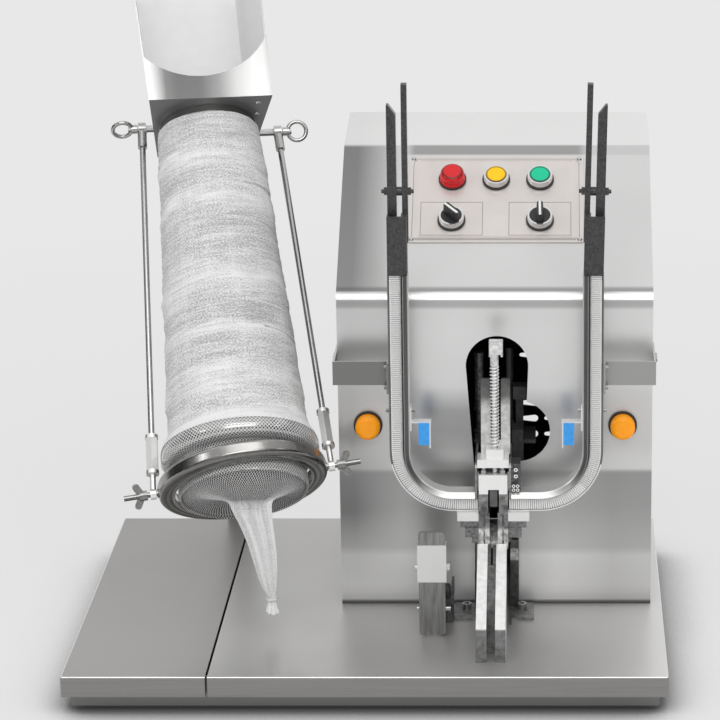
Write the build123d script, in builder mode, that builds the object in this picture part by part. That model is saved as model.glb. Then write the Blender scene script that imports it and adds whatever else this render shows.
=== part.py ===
# Tabletop machine that closes tubular mesh bags with U-shaped metal clips.
# Millimetres, +Z up, +Y to the back, front of the machine towards -Y.
# The origin is under the middle of the whole machine, on the table.
import os
from math import atan2, cos, degrees, hypot, radians, sin

from build123d import *

os.makedirs("parts", exist_ok=True)

# Base
base_w = 607
base_d = 476
base_front = -293
foot_r = 16
foot_h = 6
foot_inset = 42
plinth_inset = 8
pan_t = 2
deck_t = 2
skirt_h = 21.5
deck_z = 40
deck_split_x = -158
deck_gap = 2.4
lip_w = 6
base_back = base_front + base_d

# Housing
machine_x = 128
housing_w = 327
housing_t = 2
housing_front = base_front + 204.5
housing_back = base_back - 2
fold_h = 341
panel_run = 167.5
panel_rise = 119
top_rise = 15
fold_r = 7
cover_t = 2
cover_screw_inset = 9
arch_r = 32.4
arch_x = machine_x + 2
arch_h = 262.6
lobe_r = 33
lobe_x = machine_x + 24
lobe_h = 192
slot_left = machine_x - 22.8
slot_right = machine_x + 24

# Vents
vent_len = 21
vent_small_r = 2.2
vent_big_r = 4
vent_pitch_x = 28
vent_cols = 4
vent_rows = (102.4, 121, 139.6, 196, 214.6)
vent_groups = (machine_x - 93, machine_x + 75)

# Control panel, measured up the slope from the fold
plate_w = 184
plate_l = 120.6
plate_t = 1.5
plate_mid = 128
control_pitch = 46.4
button_row = 154
selector_row = 97
seat_r = 14.7
seat_t = 2.5
bezel_r = 13.6
bezel_h = 7
cap_r = 10.8
cap_rise = 1.2
stem_r = 6.5
panel_hole_r = 11.1
fit_gap = 0.35
button_travel = 3
switch_w = 29
switch_l = 34
switch_h = 38
knob_len = 21
knob_w = 8
knob_rise = 11
lamp_dome = 12

# Side lamps
side_lamp_h = 198.7
side_lamp_dx = 132.7
side_lamp_r = 12.8
side_lamp_out = 16
side_bezel_r = 15

# Clip rails
rail_front = housing_front - 60
rail_mid_x = machine_x + 2
rail_dx = 99
rail_w = 21
rail_depth = 19
rail_back_t = 2
rail_outer_t = 1.4
rail_inner_t = 5.7
rail_band = 5
rail_inner_out = 4.5
rail_outer_back = 3.5
rail_top_h = 375
rail_low_h = 123.5
rail_bend_r = 65
clip_w = 10
clip_depth = 13
clip_front_gap = 2.5
clip_side_gap = 2.1
clip_pitch = 4.6
clip_groove = 0.8
cap_h = 61
cap_w = 20
cap_lean = 1.3
cap_depth = 18.5
blade_depth = 11
outer_blade_w = 9.3
inner_blade_w = 5.8
blade_low_h = 405
outer_blade_h = 546
inner_blade_h = 567
blade_gap = 5.6
blade_bolt_h = 457
bracket_h = 25
bracket_low_h = 255
bracket_t = 2
rail_screw_r = 2.2
sensor_w = 11
sensor_h = 23
sensor_d = 12
sensor_low_h = 195
sensor_off = 8.5
sensor_plate_t = 1.5

# Clipping head
head_front = rail_front - 3
head_x = machine_x - 1.5
throat_x = head_x + 0.4
arms_x = head_x - 1.3
side_plate_in = 16.4
side_plate_t = 2.2
head_top_h = 176
plate_reach = 120
foot_w = 23
foot_d = 46
foot_t = 2.5
foot_front = housing_front - 49.5
foot_bolt_dx = 29.2
foot_bolt_y = foot_front + foot_d * 0.62
ram_x = machine_x + 0.3
ram_y = head_front + 9
ram_rod_r = 2.5
ram_nut_w = 14
ram_nut_h = 12.7
ram_nut_low_h = 292.5
ram_nut_shift = 1.7
ram_travel = 20
spring_r = 4
spring_wire_r = 0.9
spring_turns = 16
crossbar_low_h = 172.3
crossbar_high_h = 181
spring_low_h = crossbar_high_h + 10
spring_high_h = ram_nut_low_h - 13.5
guide_high_h = spring_high_h - 17
guide_slot_low_h = spring_low_h + 5
punch_w = 7.9
punch_low_h = 129
throat_w = 8.4
mouth_w = 11.2
mouth_h = 123.5
jaw_half = 15.2
jaw_low_h = 84
jaw_top_h = 143.8
die_front_h = 92
die_back_h = 106
yoke_top_h = 164.4
yoke_front_half = 14.7
arm_in = 4.4
arm_w = 10.6
arm_front = base_front + 37.5
arm_back = head_front - 0.5
arm_front_h = 35.3
arm_back_h = 90

# Trigger paddle
paddle_x = 64
paddle_w = 27
paddle_t = 2.5
paddle_front = base_front + 109
paddle_low_h = 2
paddle_high_h = 114
paddle_flange = 11
sleeve_t = 1.4
sleeve_low_h = 60
sleeve_high_h = 100
hinge_h = 28
hinge_r = 2.5
cross_pin_h = 73
running_gap = 0.06

# Netting tube, in its own frame: z runs up the tube, x to the right, y to its underside
mouth_x = -128.5
mouth_y = base_front + 130
mouth_z = 194
tube_yaw = 11.65
tube_rise = 49
tube_len = 426
tube_top_r = 51.7
tube_low_r = 70.2
tube_low_z = 58
tube_t = 1.5
lip_r = 66
lip_z = -6
collar_r = 81.2
collar_z = 40
collar_low_z = 28
net_gap = 0.35
net_t = 1.4
net_top_z = 421
ring_in_r = 71
ring_out_r = 87
ring_h = 17
ring_mid_z = 9.5
ring_tilt = 3.8
lug_turn = -5
lug_r = 92
screw_r = 2.8
rod_r = 3.2
rod_tops = {"left": (69, 23, 437), "right": (79, 35, 433)}
sleeve_low = 22
sleeve_high = 66
sleeve_flats = 11.5
sleeve_bore_r = 4.1
eye_r = 10.2
eye_wire_r = 2.3
brake_travel = 7
hopper_z = 422.5
hopper_len = 200
hopper_half_w = 65.5
hopper_floor_half_w = 52
hopper_front_y = -65
hopper_floor_y = 62
hopper_flare = 5.6
hopper_lean = 4.5
hopper_t = 1.5
stud_root = 54.4
end_plate_t = 2
arc_r = 80
arc_low = 27
arc_shift = -8
post_w = 30
post_t = 2
post_x = -170
post_foot_h = 8

# Worked out
panel_len = hypot(panel_run, panel_rise)
panel_slope = degrees(atan2(panel_rise, panel_run))
fold_z = deck_z + fold_h
panel_top_y = housing_front + panel_run
panel_top_z = fold_z + panel_rise
top_back_z = panel_top_z + top_rise
housing_left = machine_x - housing_w / 2
housing_right = machine_x + housing_w / 2
base_mid_y = base_front + base_d / 2


def slab(x0, x1, y0, y1, z0, z1, mode=Mode.ADD):
    """A block given by its six faces."""
    with Locations(((x0 + x1) / 2, (y0 + y1) / 2, (z0 + z1) / 2)):
        Box(abs(x1 - x0), abs(y1 - y0), abs(z1 - z0), mode=mode)


def bar(start, end, radius, mode=Mode.ADD):
    """A round bar between two points."""
    along = Vector(*end) - Vector(*start)
    with Locations(Plane(origin=start, z_dir=along)):
        Cylinder(radius, along.length, align=(Align.CENTER, Align.CENTER, Align.MIN), mode=mode)


def hex_bar(start, end, flats, mode=Mode.ADD):
    """A hexagonal bar between two points, given by its width across flats."""
    along = Vector(*end) - Vector(*start)
    with BuildSketch(Plane(origin=start, z_dir=along)) as hexagon:
        RegularPolygon(flats / 2, 6, major_radius=False)
    extrude(hexagon.sketch, amount=along.length, mode=mode)


def facing(y):
    """The plane of a drawing seen from the front, X to the right and Z up."""
    return Plane.XZ.offset(-y)


def on_panel(across, up, lift=0):
    """The plane of the sloping control panel at a place on it, Z out of the panel."""
    slope = radians(panel_slope)
    return Plane(
        origin=(
            machine_x + across,
            housing_front + up * cos(slope) - lift * sin(slope),
            fold_z + up * sin(slope) + lift * cos(slope),
        ),
        x_dir=(1, 0, 0),
        z_dir=(0, -sin(slope), cos(slope)),
    )


# The base pan is a folded steel tray that carries both deck panels on its rim.
pan_w = base_w - 2 * plinth_inset
pan_d = base_d - 2 * plinth_inset
pan_top = deck_z - deck_t
with BuildPart() as base_pan:
    with BuildSketch(Plane.XY.offset(foot_h)):
        with Locations((0, base_mid_y)):
            RectangleRounded(pan_w, pan_d, 4)
    extrude(amount=pan_top - foot_h)
    offset(amount=-pan_t, openings=base_pan.faces().sort_by(Axis.Z)[-1])
    for rib_x in (-pan_w / 6, pan_w / 6):
        slab(
            rib_x - pan_t,
            rib_x + pan_t,
            base_mid_y - pan_d / 2 + pan_t,
            base_mid_y + pan_d / 2 - pan_t,
            foot_h + pan_t,
            pan_top,
        )
base_pan.part.label = "base_pan"
export_step(base_pan.part, "parts/base_pan.step")

# Turned rubber feet under the four corners of the pan, and a square one under the post.
post_mid_y = base_back + post_w / 2
with BuildPart() as rubber_feet:
    with BuildSketch(Plane.XY):
        with GridLocations(base_w - 2 * foot_inset, base_d - 2 * foot_inset, 2, 2):
            with Locations((0, base_mid_y)):
                Circle(foot_r)
    extrude(amount=foot_h, taper=8)
    with BuildSketch(Plane.XY):
        with Locations((post_x, post_mid_y + 1)):
            RectangleRounded(post_w + 4, post_w + 2, 4)
    extrude(amount=post_foot_h)
rubber_feet.part.label = "rubber_feet"
export_step(rubber_feet.part, "parts/rubber_feet.step")


def deck_panel(x0, x1, open_side):
    """A stainless deck panel: a flat top, a skirt on three sides and a return lip under it."""
    skirt_z = deck_z - skirt_h
    inner_x0 = x0 + (0 if open_side == "left" else deck_t)
    inner_x1 = x1 - (0 if open_side == "right" else deck_t)
    lip_x0 = inner_x0 + (0 if open_side == "left" else lip_w - deck_t)
    lip_x1 = inner_x1 - (0 if open_side == "right" else lip_w - deck_t)
    slab(x0, x1, base_front, base_back, skirt_z, deck_z)
    slab(inner_x0, inner_x1, base_front + deck_t, base_back - deck_t, skirt_z + deck_t, pan_top, Mode.SUBTRACT)
    slab(lip_x0, lip_x1, base_front + lip_w, base_back - lip_w, skirt_z, skirt_z + deck_t, Mode.SUBTRACT)


# Two deck panels of brushed stainless sheet, with a narrow gap between them.
with BuildPart() as deck_left:
    deck_panel(-base_w / 2, deck_split_x - deck_gap / 2, "right")
    fillet(deck_left.edges().group_by(Axis.Z)[-1].filter_by(Axis.X), radius=1.2)
    fillet(deck_left.edges().filter_by(Axis.Z).group_by(Axis.X)[0], radius=1.5)
deck_left.part.label = "deck_left"
export_step(deck_left.part, "parts/deck_left.step")

with BuildPart() as deck_right:
    deck_panel(deck_split_x + deck_gap / 2, base_w / 2, "left")
    fillet(deck_right.edges().group_by(Axis.Z)[-1].filter_by(Axis.X), radius=1.2)
    fillet(deck_right.edges().filter_by(Axis.Z).group_by(Axis.X)[-1], radius=1.5)
deck_right.part.label = "deck_right"
export_step(deck_right.part, "parts/deck_right.step")

# The housing is one bent sheet, open at the back and below, with the keyhole cut in its front.
controls = {
    "red": (-control_pitch, button_row),
    "yellow": (0, button_row),
    "green": (control_pitch, button_row),
    "left": (-control_pitch, selector_row),
    "right": (control_pitch, selector_row),
}
with BuildPart() as housing_shell:
    with BuildSketch(Plane.YZ.offset(housing_left)):
        with BuildLine():
            Polyline(
                (housing_front, deck_z),
                (housing_front, fold_z),
                (panel_top_y, panel_top_z),
                (housing_back, top_back_z),
                (housing_back, deck_z),
                close=True,
            )
        make_face()
    extrude(amount=housing_w)
    cross_edges = housing_shell.edges().filter_by(Axis.X)
    fold_edge = cross_edges.sort_by_distance((machine_x, housing_front, fold_z))[0]
    top_edge = cross_edges.sort_by_distance((machine_x, panel_top_y, panel_top_z))[0]
    fillet(fold_edge, radius=fold_r)
    fillet(top_edge, radius=fold_r)
    shell_bottom = housing_shell.faces().sort_by(Axis.Z)[0]
    shell_back = housing_shell.faces().filter_by(Axis.Y).sort_by(Axis.Y)[-1]
    offset(amount=-housing_t, openings=[shell_bottom, shell_back])
    with BuildSketch(facing(housing_front - 1)):
        with Locations((arch_x, deck_z + arch_h)):
            Circle(arch_r)
        with Locations((lobe_x, deck_z + lobe_h)):
            Circle(lobe_r)
        with BuildLine():
            Polyline(
                (arch_x - arch_r, deck_z + arch_h),
                (arch_x + arch_r, deck_z + arch_h),
                (arch_x + arch_r - 3, deck_z + lobe_h),
                (slot_right, deck_z + lobe_h - lobe_r + 4),
                (slot_right, deck_z - 1),
                (slot_left, deck_z - 1),
                (slot_left + 1.5, deck_z + 138),
                close=True,
            )
        make_face()
    extrude(amount=-(housing_t + 2), mode=Mode.SUBTRACT)
    for across, up in controls.values():
        with BuildSketch(on_panel(across, up, 1)):
            Circle(panel_hole_r)
        extrude(amount=-(housing_t + 2), mode=Mode.SUBTRACT)
    for side in (-1, 1):
        lamp_at = (machine_x + side * side_lamp_dx, deck_z + side_lamp_h)
        bar(
            (lamp_at[0], housing_front - 1, lamp_at[1]),
            (lamp_at[0], housing_front + housing_t + 1, lamp_at[1]),
            panel_hole_r,
            Mode.SUBTRACT,
        )
housing_shell.part.label = "housing_shell"
export_step(housing_shell.part, "parts/housing_shell.step")

# The rear cover closes the housing's back. Its vents are drop-shaped slots.
cover_low = deck_z + 0.5
cover_high = top_back_z - 1
inlet_x = housing_right - 45
inlet_h = 40
gland_x = housing_right - 95
with BuildPart() as rear_cover:
    slab(housing_left, housing_right, housing_back, housing_back + cover_t, cover_low, cover_high)
    with BuildSketch(facing(housing_back - 1)):
        with Locations(*[(group_x, deck_z + vent_h) for group_x in vent_groups for vent_h in vent_rows]):
            with GridLocations(vent_pitch_x, 1, vent_cols, 1):
                with Locations((vent_small_r - vent_len / 2, 0)):
                    Circle(vent_small_r)
                with Locations((vent_len / 2 - vent_big_r, 0)):
                    Circle(vent_big_r)
                drop_mid = (vent_small_r - vent_big_r) / 2
                with Locations((drop_mid, 0)):
                    Trapezoid(
                        2 * vent_big_r,
                        vent_len - vent_small_r - vent_big_r,
                        90 - degrees(atan2(vent_big_r - vent_small_r, vent_len - vent_small_r - vent_big_r)),
                        rotation=90,
                    )
    extrude(amount=-(cover_t + 2), mode=Mode.SUBTRACT)
    for hole_x, hole_r in ((inlet_x, 6.6), (gland_x, 8)):
        hole_z = deck_z + inlet_h
        bar((hole_x, housing_back - 1, hole_z), (hole_x, housing_back + cover_t + 1, hole_z), hole_r, Mode.SUBTRACT)
rear_cover.part.label = "rear_cover"
export_step(rear_cover.part, "parts/rear_cover.step")

# Push-in air inlet and the gland for the supply lead, side by side low on the rear cover.
with BuildPart() as rear_fittings:
    inlet_z = deck_z + inlet_h
    hex_bar((inlet_x, housing_back + cover_t, inlet_z), (inlet_x, housing_back + cover_t + 5, inlet_z), 17)
    bar((inlet_x, housing_back - 8, inlet_z), (inlet_x, housing_back + cover_t + 14, inlet_z), 6.3)
    bar((inlet_x, housing_back - 9, inlet_z), (inlet_x, housing_back + cover_t + 15, inlet_z), 4.05, Mode.SUBTRACT)
    hex_bar((gland_x, housing_back + cover_t, inlet_z), (gland_x, housing_back + cover_t + 5, inlet_z), 20)
    bar((gland_x, housing_back - 8, inlet_z), (gland_x, housing_back + cover_t + 10, inlet_z), 7.7)
    with Locations(Plane(origin=(gland_x, housing_back + cover_t + 10, inlet_z), z_dir=(0, 1, 0))):
        Cone(9, 6.5, 9, align=(Align.CENTER, Align.CENTER, Align.MIN))
    bar((gland_x, housing_back - 9, inlet_z), (gland_x, housing_back + cover_t + 20, inlet_z), 3.6, Mode.SUBTRACT)
rear_fittings.part.label = "rear_fittings"
export_step(rear_fittings.part, "parts/rear_fittings.step")

# The control plate lies on the sloping panel, with a shallow engraved border.
with BuildPart() as control_plate:
    with BuildSketch(on_panel(0, plate_mid)):
        RectangleRounded(plate_w, plate_l, 2)
    extrude(amount=plate_t)
    with BuildSketch(on_panel(0, plate_mid, plate_t)):
        chamfer(Rectangle(plate_w - 13, plate_l - 13).vertices(), 5)
        chamfer(Rectangle(plate_w - 15, plate_l - 15, mode=Mode.SUBTRACT).vertices(), 4.6)
    extrude(amount=-0.4, mode=Mode.SUBTRACT)
    for across, up in controls.values():
        with BuildSketch(on_panel(across, up, plate_t + 1)):
            Circle(panel_hole_r)
        extrude(amount=-(plate_t + 2), mode=Mode.SUBTRACT)
control_plate.part.label = "control_plate"
export_step(control_plate.part, "parts/control_plate.step")

# A switch block sits behind the panel under each control.
with BuildPart() as switch_blocks:
    for across, up in controls.values():
        with BuildSketch(on_panel(across, up, -housing_t)):
            RectangleRounded(switch_w, switch_l, 2)
            Circle(stem_r + fit_gap, mode=Mode.SUBTRACT)
        extrude(amount=-switch_h)
switch_blocks.part.label = "switch_blocks"
export_step(switch_blocks.part, "parts/switch_blocks.step")

# A black sealing seat under each control, and polished bezel rings for the buttons and selectors.
bezel_low = plate_t + seat_t
bezel_high = bezel_low + bezel_h
with BuildPart() as control_bezels:
    for across, up in controls.values():
        with BuildSketch(on_panel(across, up, plate_t)):
            Circle(seat_r)
            Circle(panel_hole_r, mode=Mode.SUBTRACT)
        extrude(amount=seat_t)
    for name in ("yellow", "green", "left", "right"):
        across, up = controls[name]
        with BuildSketch(on_panel(across, up, bezel_low)):
            Circle(bezel_r)
        extrude(amount=bezel_h, taper=5)
        with BuildSketch(on_panel(across, up, bezel_low)):
            Circle(cap_r + fit_gap)
        extrude(amount=bezel_h, mode=Mode.SUBTRACT)
control_bezels.part.label = "control_bezels"
export_step(control_bezels.part, "parts/control_bezels.step")

# The red indicator: a black body and a domed lens.
with BuildPart() as red_lamp:
    across, up = controls["red"]
    with BuildSketch(on_panel(across, up, bezel_low)):
        Circle(bezel_r)
    extrude(amount=4, taper=8)
    with BuildSketch(on_panel(across, up, bezel_low + 4)):
        Circle(seat_r - 2.2)
    extrude(amount=lamp_dome - 4)
    lens_rims = red_lamp.edges().filter_by(GeomType.CIRCLE)
    fillet(lens_rims.sort_by_distance(on_panel(across, up, bezel_low + lamp_dome).origin)[0], radius=4)
red_lamp.part.label = "red_lamp"
export_step(red_lamp.part, "parts/red_lamp.step")

# Push buttons: a dished cap on a stem that runs down into its switch block.
for name, label in (("yellow", "reset_button"), ("green", "power_button")):
    across, up = controls[name]
    cap_low = bezel_high + cap_rise - 4
    stem_low = -housing_t - 12
    with BuildPart() as button:
        with BuildSketch(on_panel(across, up, cap_low)):
            Circle(cap_r)
        extrude(amount=4)
        cap_rims = button.edges().filter_by(GeomType.CIRCLE)
        fillet(cap_rims.sort_by_distance(on_panel(across, up, cap_low + 4).origin)[0], radius=0.8)
        with BuildSketch(on_panel(across, up, stem_low)):
            Circle(stem_r)
        extrude(amount=cap_low - stem_low)
    button.part.label = label
    export_step(button.part, f"parts/{label}.step")

# Selector switches: a round disc with a raised lever, on a stem.
for name, turned, label in (("left", 45, "left_selector"), ("right", 0, "right_selector")):
    across, up = controls[name]
    disc_low = bezel_high - 3
    stem_low = -housing_t - 12
    with BuildPart() as selector:
        with BuildSketch(on_panel(across, up, disc_low)):
            Circle(cap_r)
        extrude(amount=3.6)
        with BuildSketch(on_panel(across, up, disc_low + 3.6)):
            SlotOverall(knob_len, knob_w, rotation=90 + turned)
        extrude(amount=knob_rise, taper=4)
        with BuildSketch(on_panel(across, up, stem_low)):
            Circle(stem_r)
        extrude(amount=disc_low - stem_low)
    selector.part.label = label
    export_step(selector.part, f"parts/{label}.step")

# Side lamps on the front of the housing, one for each clip rail: a black body and a domed lens.
with BuildPart() as side_lamps:
    for side in (-1, 1):
        lamp_x = machine_x + side * side_lamp_dx
        lamp_z = deck_z + side_lamp_h
        bar((lamp_x, housing_front, lamp_z), (lamp_x, housing_front - side_lamp_out, lamp_z), side_lamp_r)
    fillet(side_lamps.faces().group_by(Axis.Y)[0].edges(), radius=5)
    for side in (-1, 1):
        lamp_x = machine_x + side * side_lamp_dx
        bar((lamp_x, housing_front, lamp_z), (lamp_x, housing_front - 3, lamp_z), side_bezel_r)
        bar((lamp_x, housing_front, lamp_z), (lamp_x, housing_front + 22, lamp_z), panel_hole_r - 0.3)
        bar((lamp_x, housing_front + 2, lamp_z), (lamp_x, housing_front + 6, lamp_z), side_bezel_r - 1)
side_lamps.part.label = "side_lamps"
export_step(side_lamps.part, "parts/side_lamps.step")


def rail_strip(side, near, far, y0, y1, end=jaw_half):
    """A strip that follows the rail's bend, between two distances from the rail's outer side."""
    outer_x = rail_mid_x + side * (rail_dx + rail_w / 2)
    low_z = deck_z + rail_low_h
    high_z = deck_z + rail_top_h
    centre_x = outer_x - side * rail_bend_r
    centre_z = low_z + rail_bend_r
    end_x = head_x + side * end
    near_r = rail_bend_r - near
    far_r = rail_bend_r - far
    corner = cos(radians(45))
    with BuildSketch(facing(y0)) as strip:
        with BuildLine():
            Line((outer_x - side * near, high_z), (outer_x - side * near, centre_z))
            ThreePointArc(
                (outer_x - side * near, centre_z),
                (centre_x + side * near_r * corner, centre_z - near_r * corner),
                (centre_x, low_z + near),
            )
            Line((centre_x, low_z + near), (end_x, low_z + near))
            Line((end_x, low_z + near), (end_x, low_z + far))
            Line((end_x, low_z + far), (centre_x, low_z + far))
            ThreePointArc(
                (centre_x, low_z + far),
                (centre_x + side * far_r * corner, centre_z - far_r * corner),
                (outer_x - side * far, centre_z),
            )
            Line((outer_x - side * far, centre_z), (outer_x - side * far, high_z))
            Line((outer_x - side * far, high_z), (outer_x - side * near, high_z))
        make_face()
    extrude(strip.sketch, amount=-(y1 - y0))


# Clip rails: J-shaped channels that lead the sticks of clips from above down into the head.
clip_near = rail_outer_t + clip_side_gap
clip_far = clip_near + clip_w
rail_height = clip_far + clip_side_gap + rail_inner_t
for side_name, side in (("left", -1), ("right", 1)):
    with BuildPart() as clip_rail:
        rail_back = rail_front + rail_depth
        rail_strip(side, 0, rail_outer_t, rail_front + rail_outer_back, rail_back)
        rail_strip(side, rail_outer_t, rail_height - rail_inner_t, rail_back - rail_back_t, rail_back)
        rail_strip(
            side,
            rail_height - rail_inner_t,
            rail_height,
            rail_front - rail_inner_out,
            rail_back,
            side_plate_in + side_plate_t,
        )
        inner_face_point = (rail_mid_x + side * (rail_dx + rail_w / 2 - rail_height), rail_front, deck_z + rail_top_h)
        band_edges = clip_rail.edges().group_by(Axis.Y)[0]
        inner_line = band_edges.filter_by(Axis.Z).sort_by_distance(inner_face_point)[0]
        inner_chain = [
            edge
            for edge in band_edges
            if edge.geom_type == GeomType.CIRCLE and abs(edge.radius - (rail_bend_r - rail_height)) < 0.01
        ]
        top_line_z = deck_z + rail_low_h + rail_height
        inner_flat = [
            edge for edge in band_edges.filter_by(Axis.X) if abs(edge.center().Z - top_line_z) < 0.01
        ]
        chamfer([inner_line, *inner_chain, *inner_flat], length=rail_band)
    clip_rail.part.label = f"{side_name}_clip_rail"
    export_step(clip_rail.part, f"parts/{side_name}_clip_rail.step")

    # The stick of clips, with a cross groove between one clip and the next.
    with BuildPart() as clip_stick:
        stick_front = rail_front + clip_front_gap
        rail_strip(side, clip_near, clip_far, stick_front, stick_front + clip_depth)
        middle = (clip_near + clip_far) / 2
        outer_x = rail_mid_x + side * (rail_dx + rail_w / 2)
        straight = rail_top_h - rail_low_h - rail_bend_r
        bend = radians(90) * (rail_bend_r - middle)
        flat = abs(outer_x - head_x) - rail_bend_r - jaw_half
        groove_places = []
        for i in range(1, int((straight + bend + flat) / clip_pitch)):
            run = i * clip_pitch
            if run < straight:
                place = (outer_x - side * middle, deck_z + rail_top_h - run, 0)
            elif run < straight + bend:
                turn = (run - straight) / (rail_bend_r - middle)
                place = (
                    outer_x - side * rail_bend_r + side * (rail_bend_r - middle) * cos(turn),
                    deck_z + rail_low_h + rail_bend_r - (rail_bend_r - middle) * sin(turn),
                    -side * degrees(turn),
                )
            else:
                past = run - straight - bend
                place = (outer_x - side * (rail_bend_r + past), deck_z + rail_low_h + middle, 90)
            groove_places.append(place)
        with BuildSketch(facing(stick_front - 1)):
            for groove_x, groove_z, groove_turn in groove_places:
                with Locations(Location((groove_x, groove_z, 0), groove_turn)):
                    Rectangle(clip_w - 2, clip_groove)
        extrude(amount=-(1 + clip_groove), mode=Mode.SUBTRACT)
    clip_stick.part.label = f"{side_name}_clip_stick"
    export_step(clip_stick.part, f"parts/{side_name}_clip_stick.step")

# Loading heads on top of the rails. The right-hand one leans out a little.
clip_mid = rail_dx + rail_w / 2 - (clip_near + clip_far) / 2
cap_low = deck_z + rail_top_h
head_frames = {}
for side, lean in ((-1, 0), (1, cap_lean)):
    head_frames[side] = Plane(
        origin=(rail_mid_x + side * rail_dx, rail_front, cap_low),
        x_dir=(cos(radians(lean)), 0, -sin(radians(lean))),
        z_dir=(sin(radians(lean)), 0, cos(radians(lean))),
    )

# Cast cap blocks, with a slot at the back that lets the clips through.
with BuildPart() as rail_caps:
    for side, frame in head_frames.items():
        with Locations(Location(frame)):
            with Locations((0, cap_depth / 2, cap_h / 2)):
                Box(cap_w, cap_depth, cap_h)
            with Locations((side * (clip_mid - rail_dx), 3 + cap_depth / 2, cap_h / 2)):
                Box(clip_w + clip_side_gap, cap_depth, cap_h + 1, mode=Mode.SUBTRACT)
    slab(-base_w, base_w, rail_front - 1, rail_front + cap_depth + 1, cap_low - 5, cap_low, Mode.SUBTRACT)
rail_caps.part.label = "rail_caps"
export_step(rail_caps.part, "parts/rail_caps.step")

# Loading blades behind the caps: a thick and a thin dark plate guide the clip sticks from above,
# held apart by a bolt with a spacer.
blade_out = rail_w / 2 - 0.6
blade_in = blade_out - outer_blade_w
blade_low = blade_low_h - rail_top_h
blade_bolt_z = blade_bolt_h - rail_top_h
with BuildPart() as loading_blades:
    for side, frame in head_frames.items():
        blade_plane = Plane(
            origin=frame.from_local_coords((0, cap_depth, 0)),
            x_dir=frame.x_dir * side,
            z_dir=frame.y_dir * -side,
        )
        thick_top = outer_blade_h - rail_top_h
        thin_top = inner_blade_h - rail_top_h
        with BuildSketch(blade_plane):
            with BuildLine():
                Polyline(
                    (blade_out, blade_low),
                    (blade_out, thick_top),
                    (blade_out - 2, thick_top),
                    (blade_in, thick_top - 10),
                    (blade_in, blade_low),
                    close=True,
                )
            make_face()
            with BuildLine():
                Polyline(
                    (blade_in - blade_gap, blade_low),
                    (blade_in - blade_gap, thin_top),
                    (blade_in - blade_gap - inner_blade_w, thin_top),
                    (blade_in - blade_gap - inner_blade_w, blade_low),
                    close=True,
                )
            make_face()
        extrude(amount=-side * blade_depth)
        bolt_y = cap_depth + blade_depth / 2
        bolt_head = side * (blade_out + 3.4)
        bolt_end = side * (blade_in - blade_gap - inner_blade_w - 3.4)
        stud_start = tuple(frame.from_local_coords((side * (blade_out + 6), bolt_y, blade_bolt_z)))
        stud_end = tuple(frame.from_local_coords((bolt_end - side * 2.6, bolt_y, blade_bolt_z)))
        nut_start = tuple(frame.from_local_coords((bolt_head, bolt_y, blade_bolt_z)))
        nut_end = tuple(frame.from_local_coords((bolt_end, bolt_y, blade_bolt_z)))
        spacer_start = tuple(frame.from_local_coords((side * blade_in, bolt_y, blade_bolt_z)))
        spacer_end = tuple(frame.from_local_coords((side * (blade_in - blade_gap), bolt_y, blade_bolt_z)))
        bar(stud_start, stud_end, 2.1)
        hex_bar(nut_start, nut_end, 7)
        bar(spacer_start, spacer_end, 4.5)
loading_blades.part.label = "loading_blades"
export_step(loading_blades.part, "parts/loading_blades.step")

# Rail brackets: bent sheet from the housing's sides to the rails, with their screws and the clamp
# screws on both flanks of each rail.
bracket_low = deck_z + bracket_low_h
bracket_y = rail_front + rail_depth - bracket_t
with BuildPart() as rail_brackets:
    for side in (-1, 1):
        wall_x = machine_x + side * housing_w / 2
        rail_x = rail_mid_x + side * (rail_dx + rail_w / 2)
        slab(
            wall_x,
            wall_x + side * bracket_t,
            bracket_y,
            housing_front + 30,
            bracket_low,
            bracket_low + bracket_h,
        )
        slab(wall_x, rail_x, bracket_y, bracket_y + bracket_t, bracket_low, bracket_low + bracket_h)
        slab(
            rail_x,
            rail_x + side * bracket_t,
            rail_front + 2,
            bracket_y,
            bracket_low - 5,
            bracket_low + bracket_h + 2,
        )
    for side in (-1, 1):
        wall_x = machine_x + side * (housing_w / 2 + bracket_t)
        rail_x = rail_mid_x + side * (rail_dx + rail_w / 2)
        inner_x = rail_mid_x + side * (rail_dx + rail_w / 2 - rail_height)
        flank_y = rail_front + rail_depth / 2
        for screw_y in (housing_front + 10, housing_front + 22):
            screw_z = bracket_low + bracket_h / 2
            bar((wall_x, screw_y, screw_z), (wall_x + side * 3, screw_y, screw_z), 3.2)
        for screw_z in (bracket_low, bracket_low + bracket_h - 4):
            tab_x = rail_x + side * bracket_t
            bar((tab_x, flank_y, screw_z), (tab_x + side * 3, flank_y, screw_z), rail_screw_r)
        for face_x, out in ((rail_x, side), (inner_x - side * sensor_plate_t, -side)):
            screw_z = deck_z + 230.5
            bar((face_x, flank_y, screw_z), (face_x + out * 3.4, flank_y, screw_z), rail_screw_r)
rail_brackets.part.label = "rail_brackets"
export_step(rail_brackets.part, "parts/rail_brackets.step")

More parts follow.
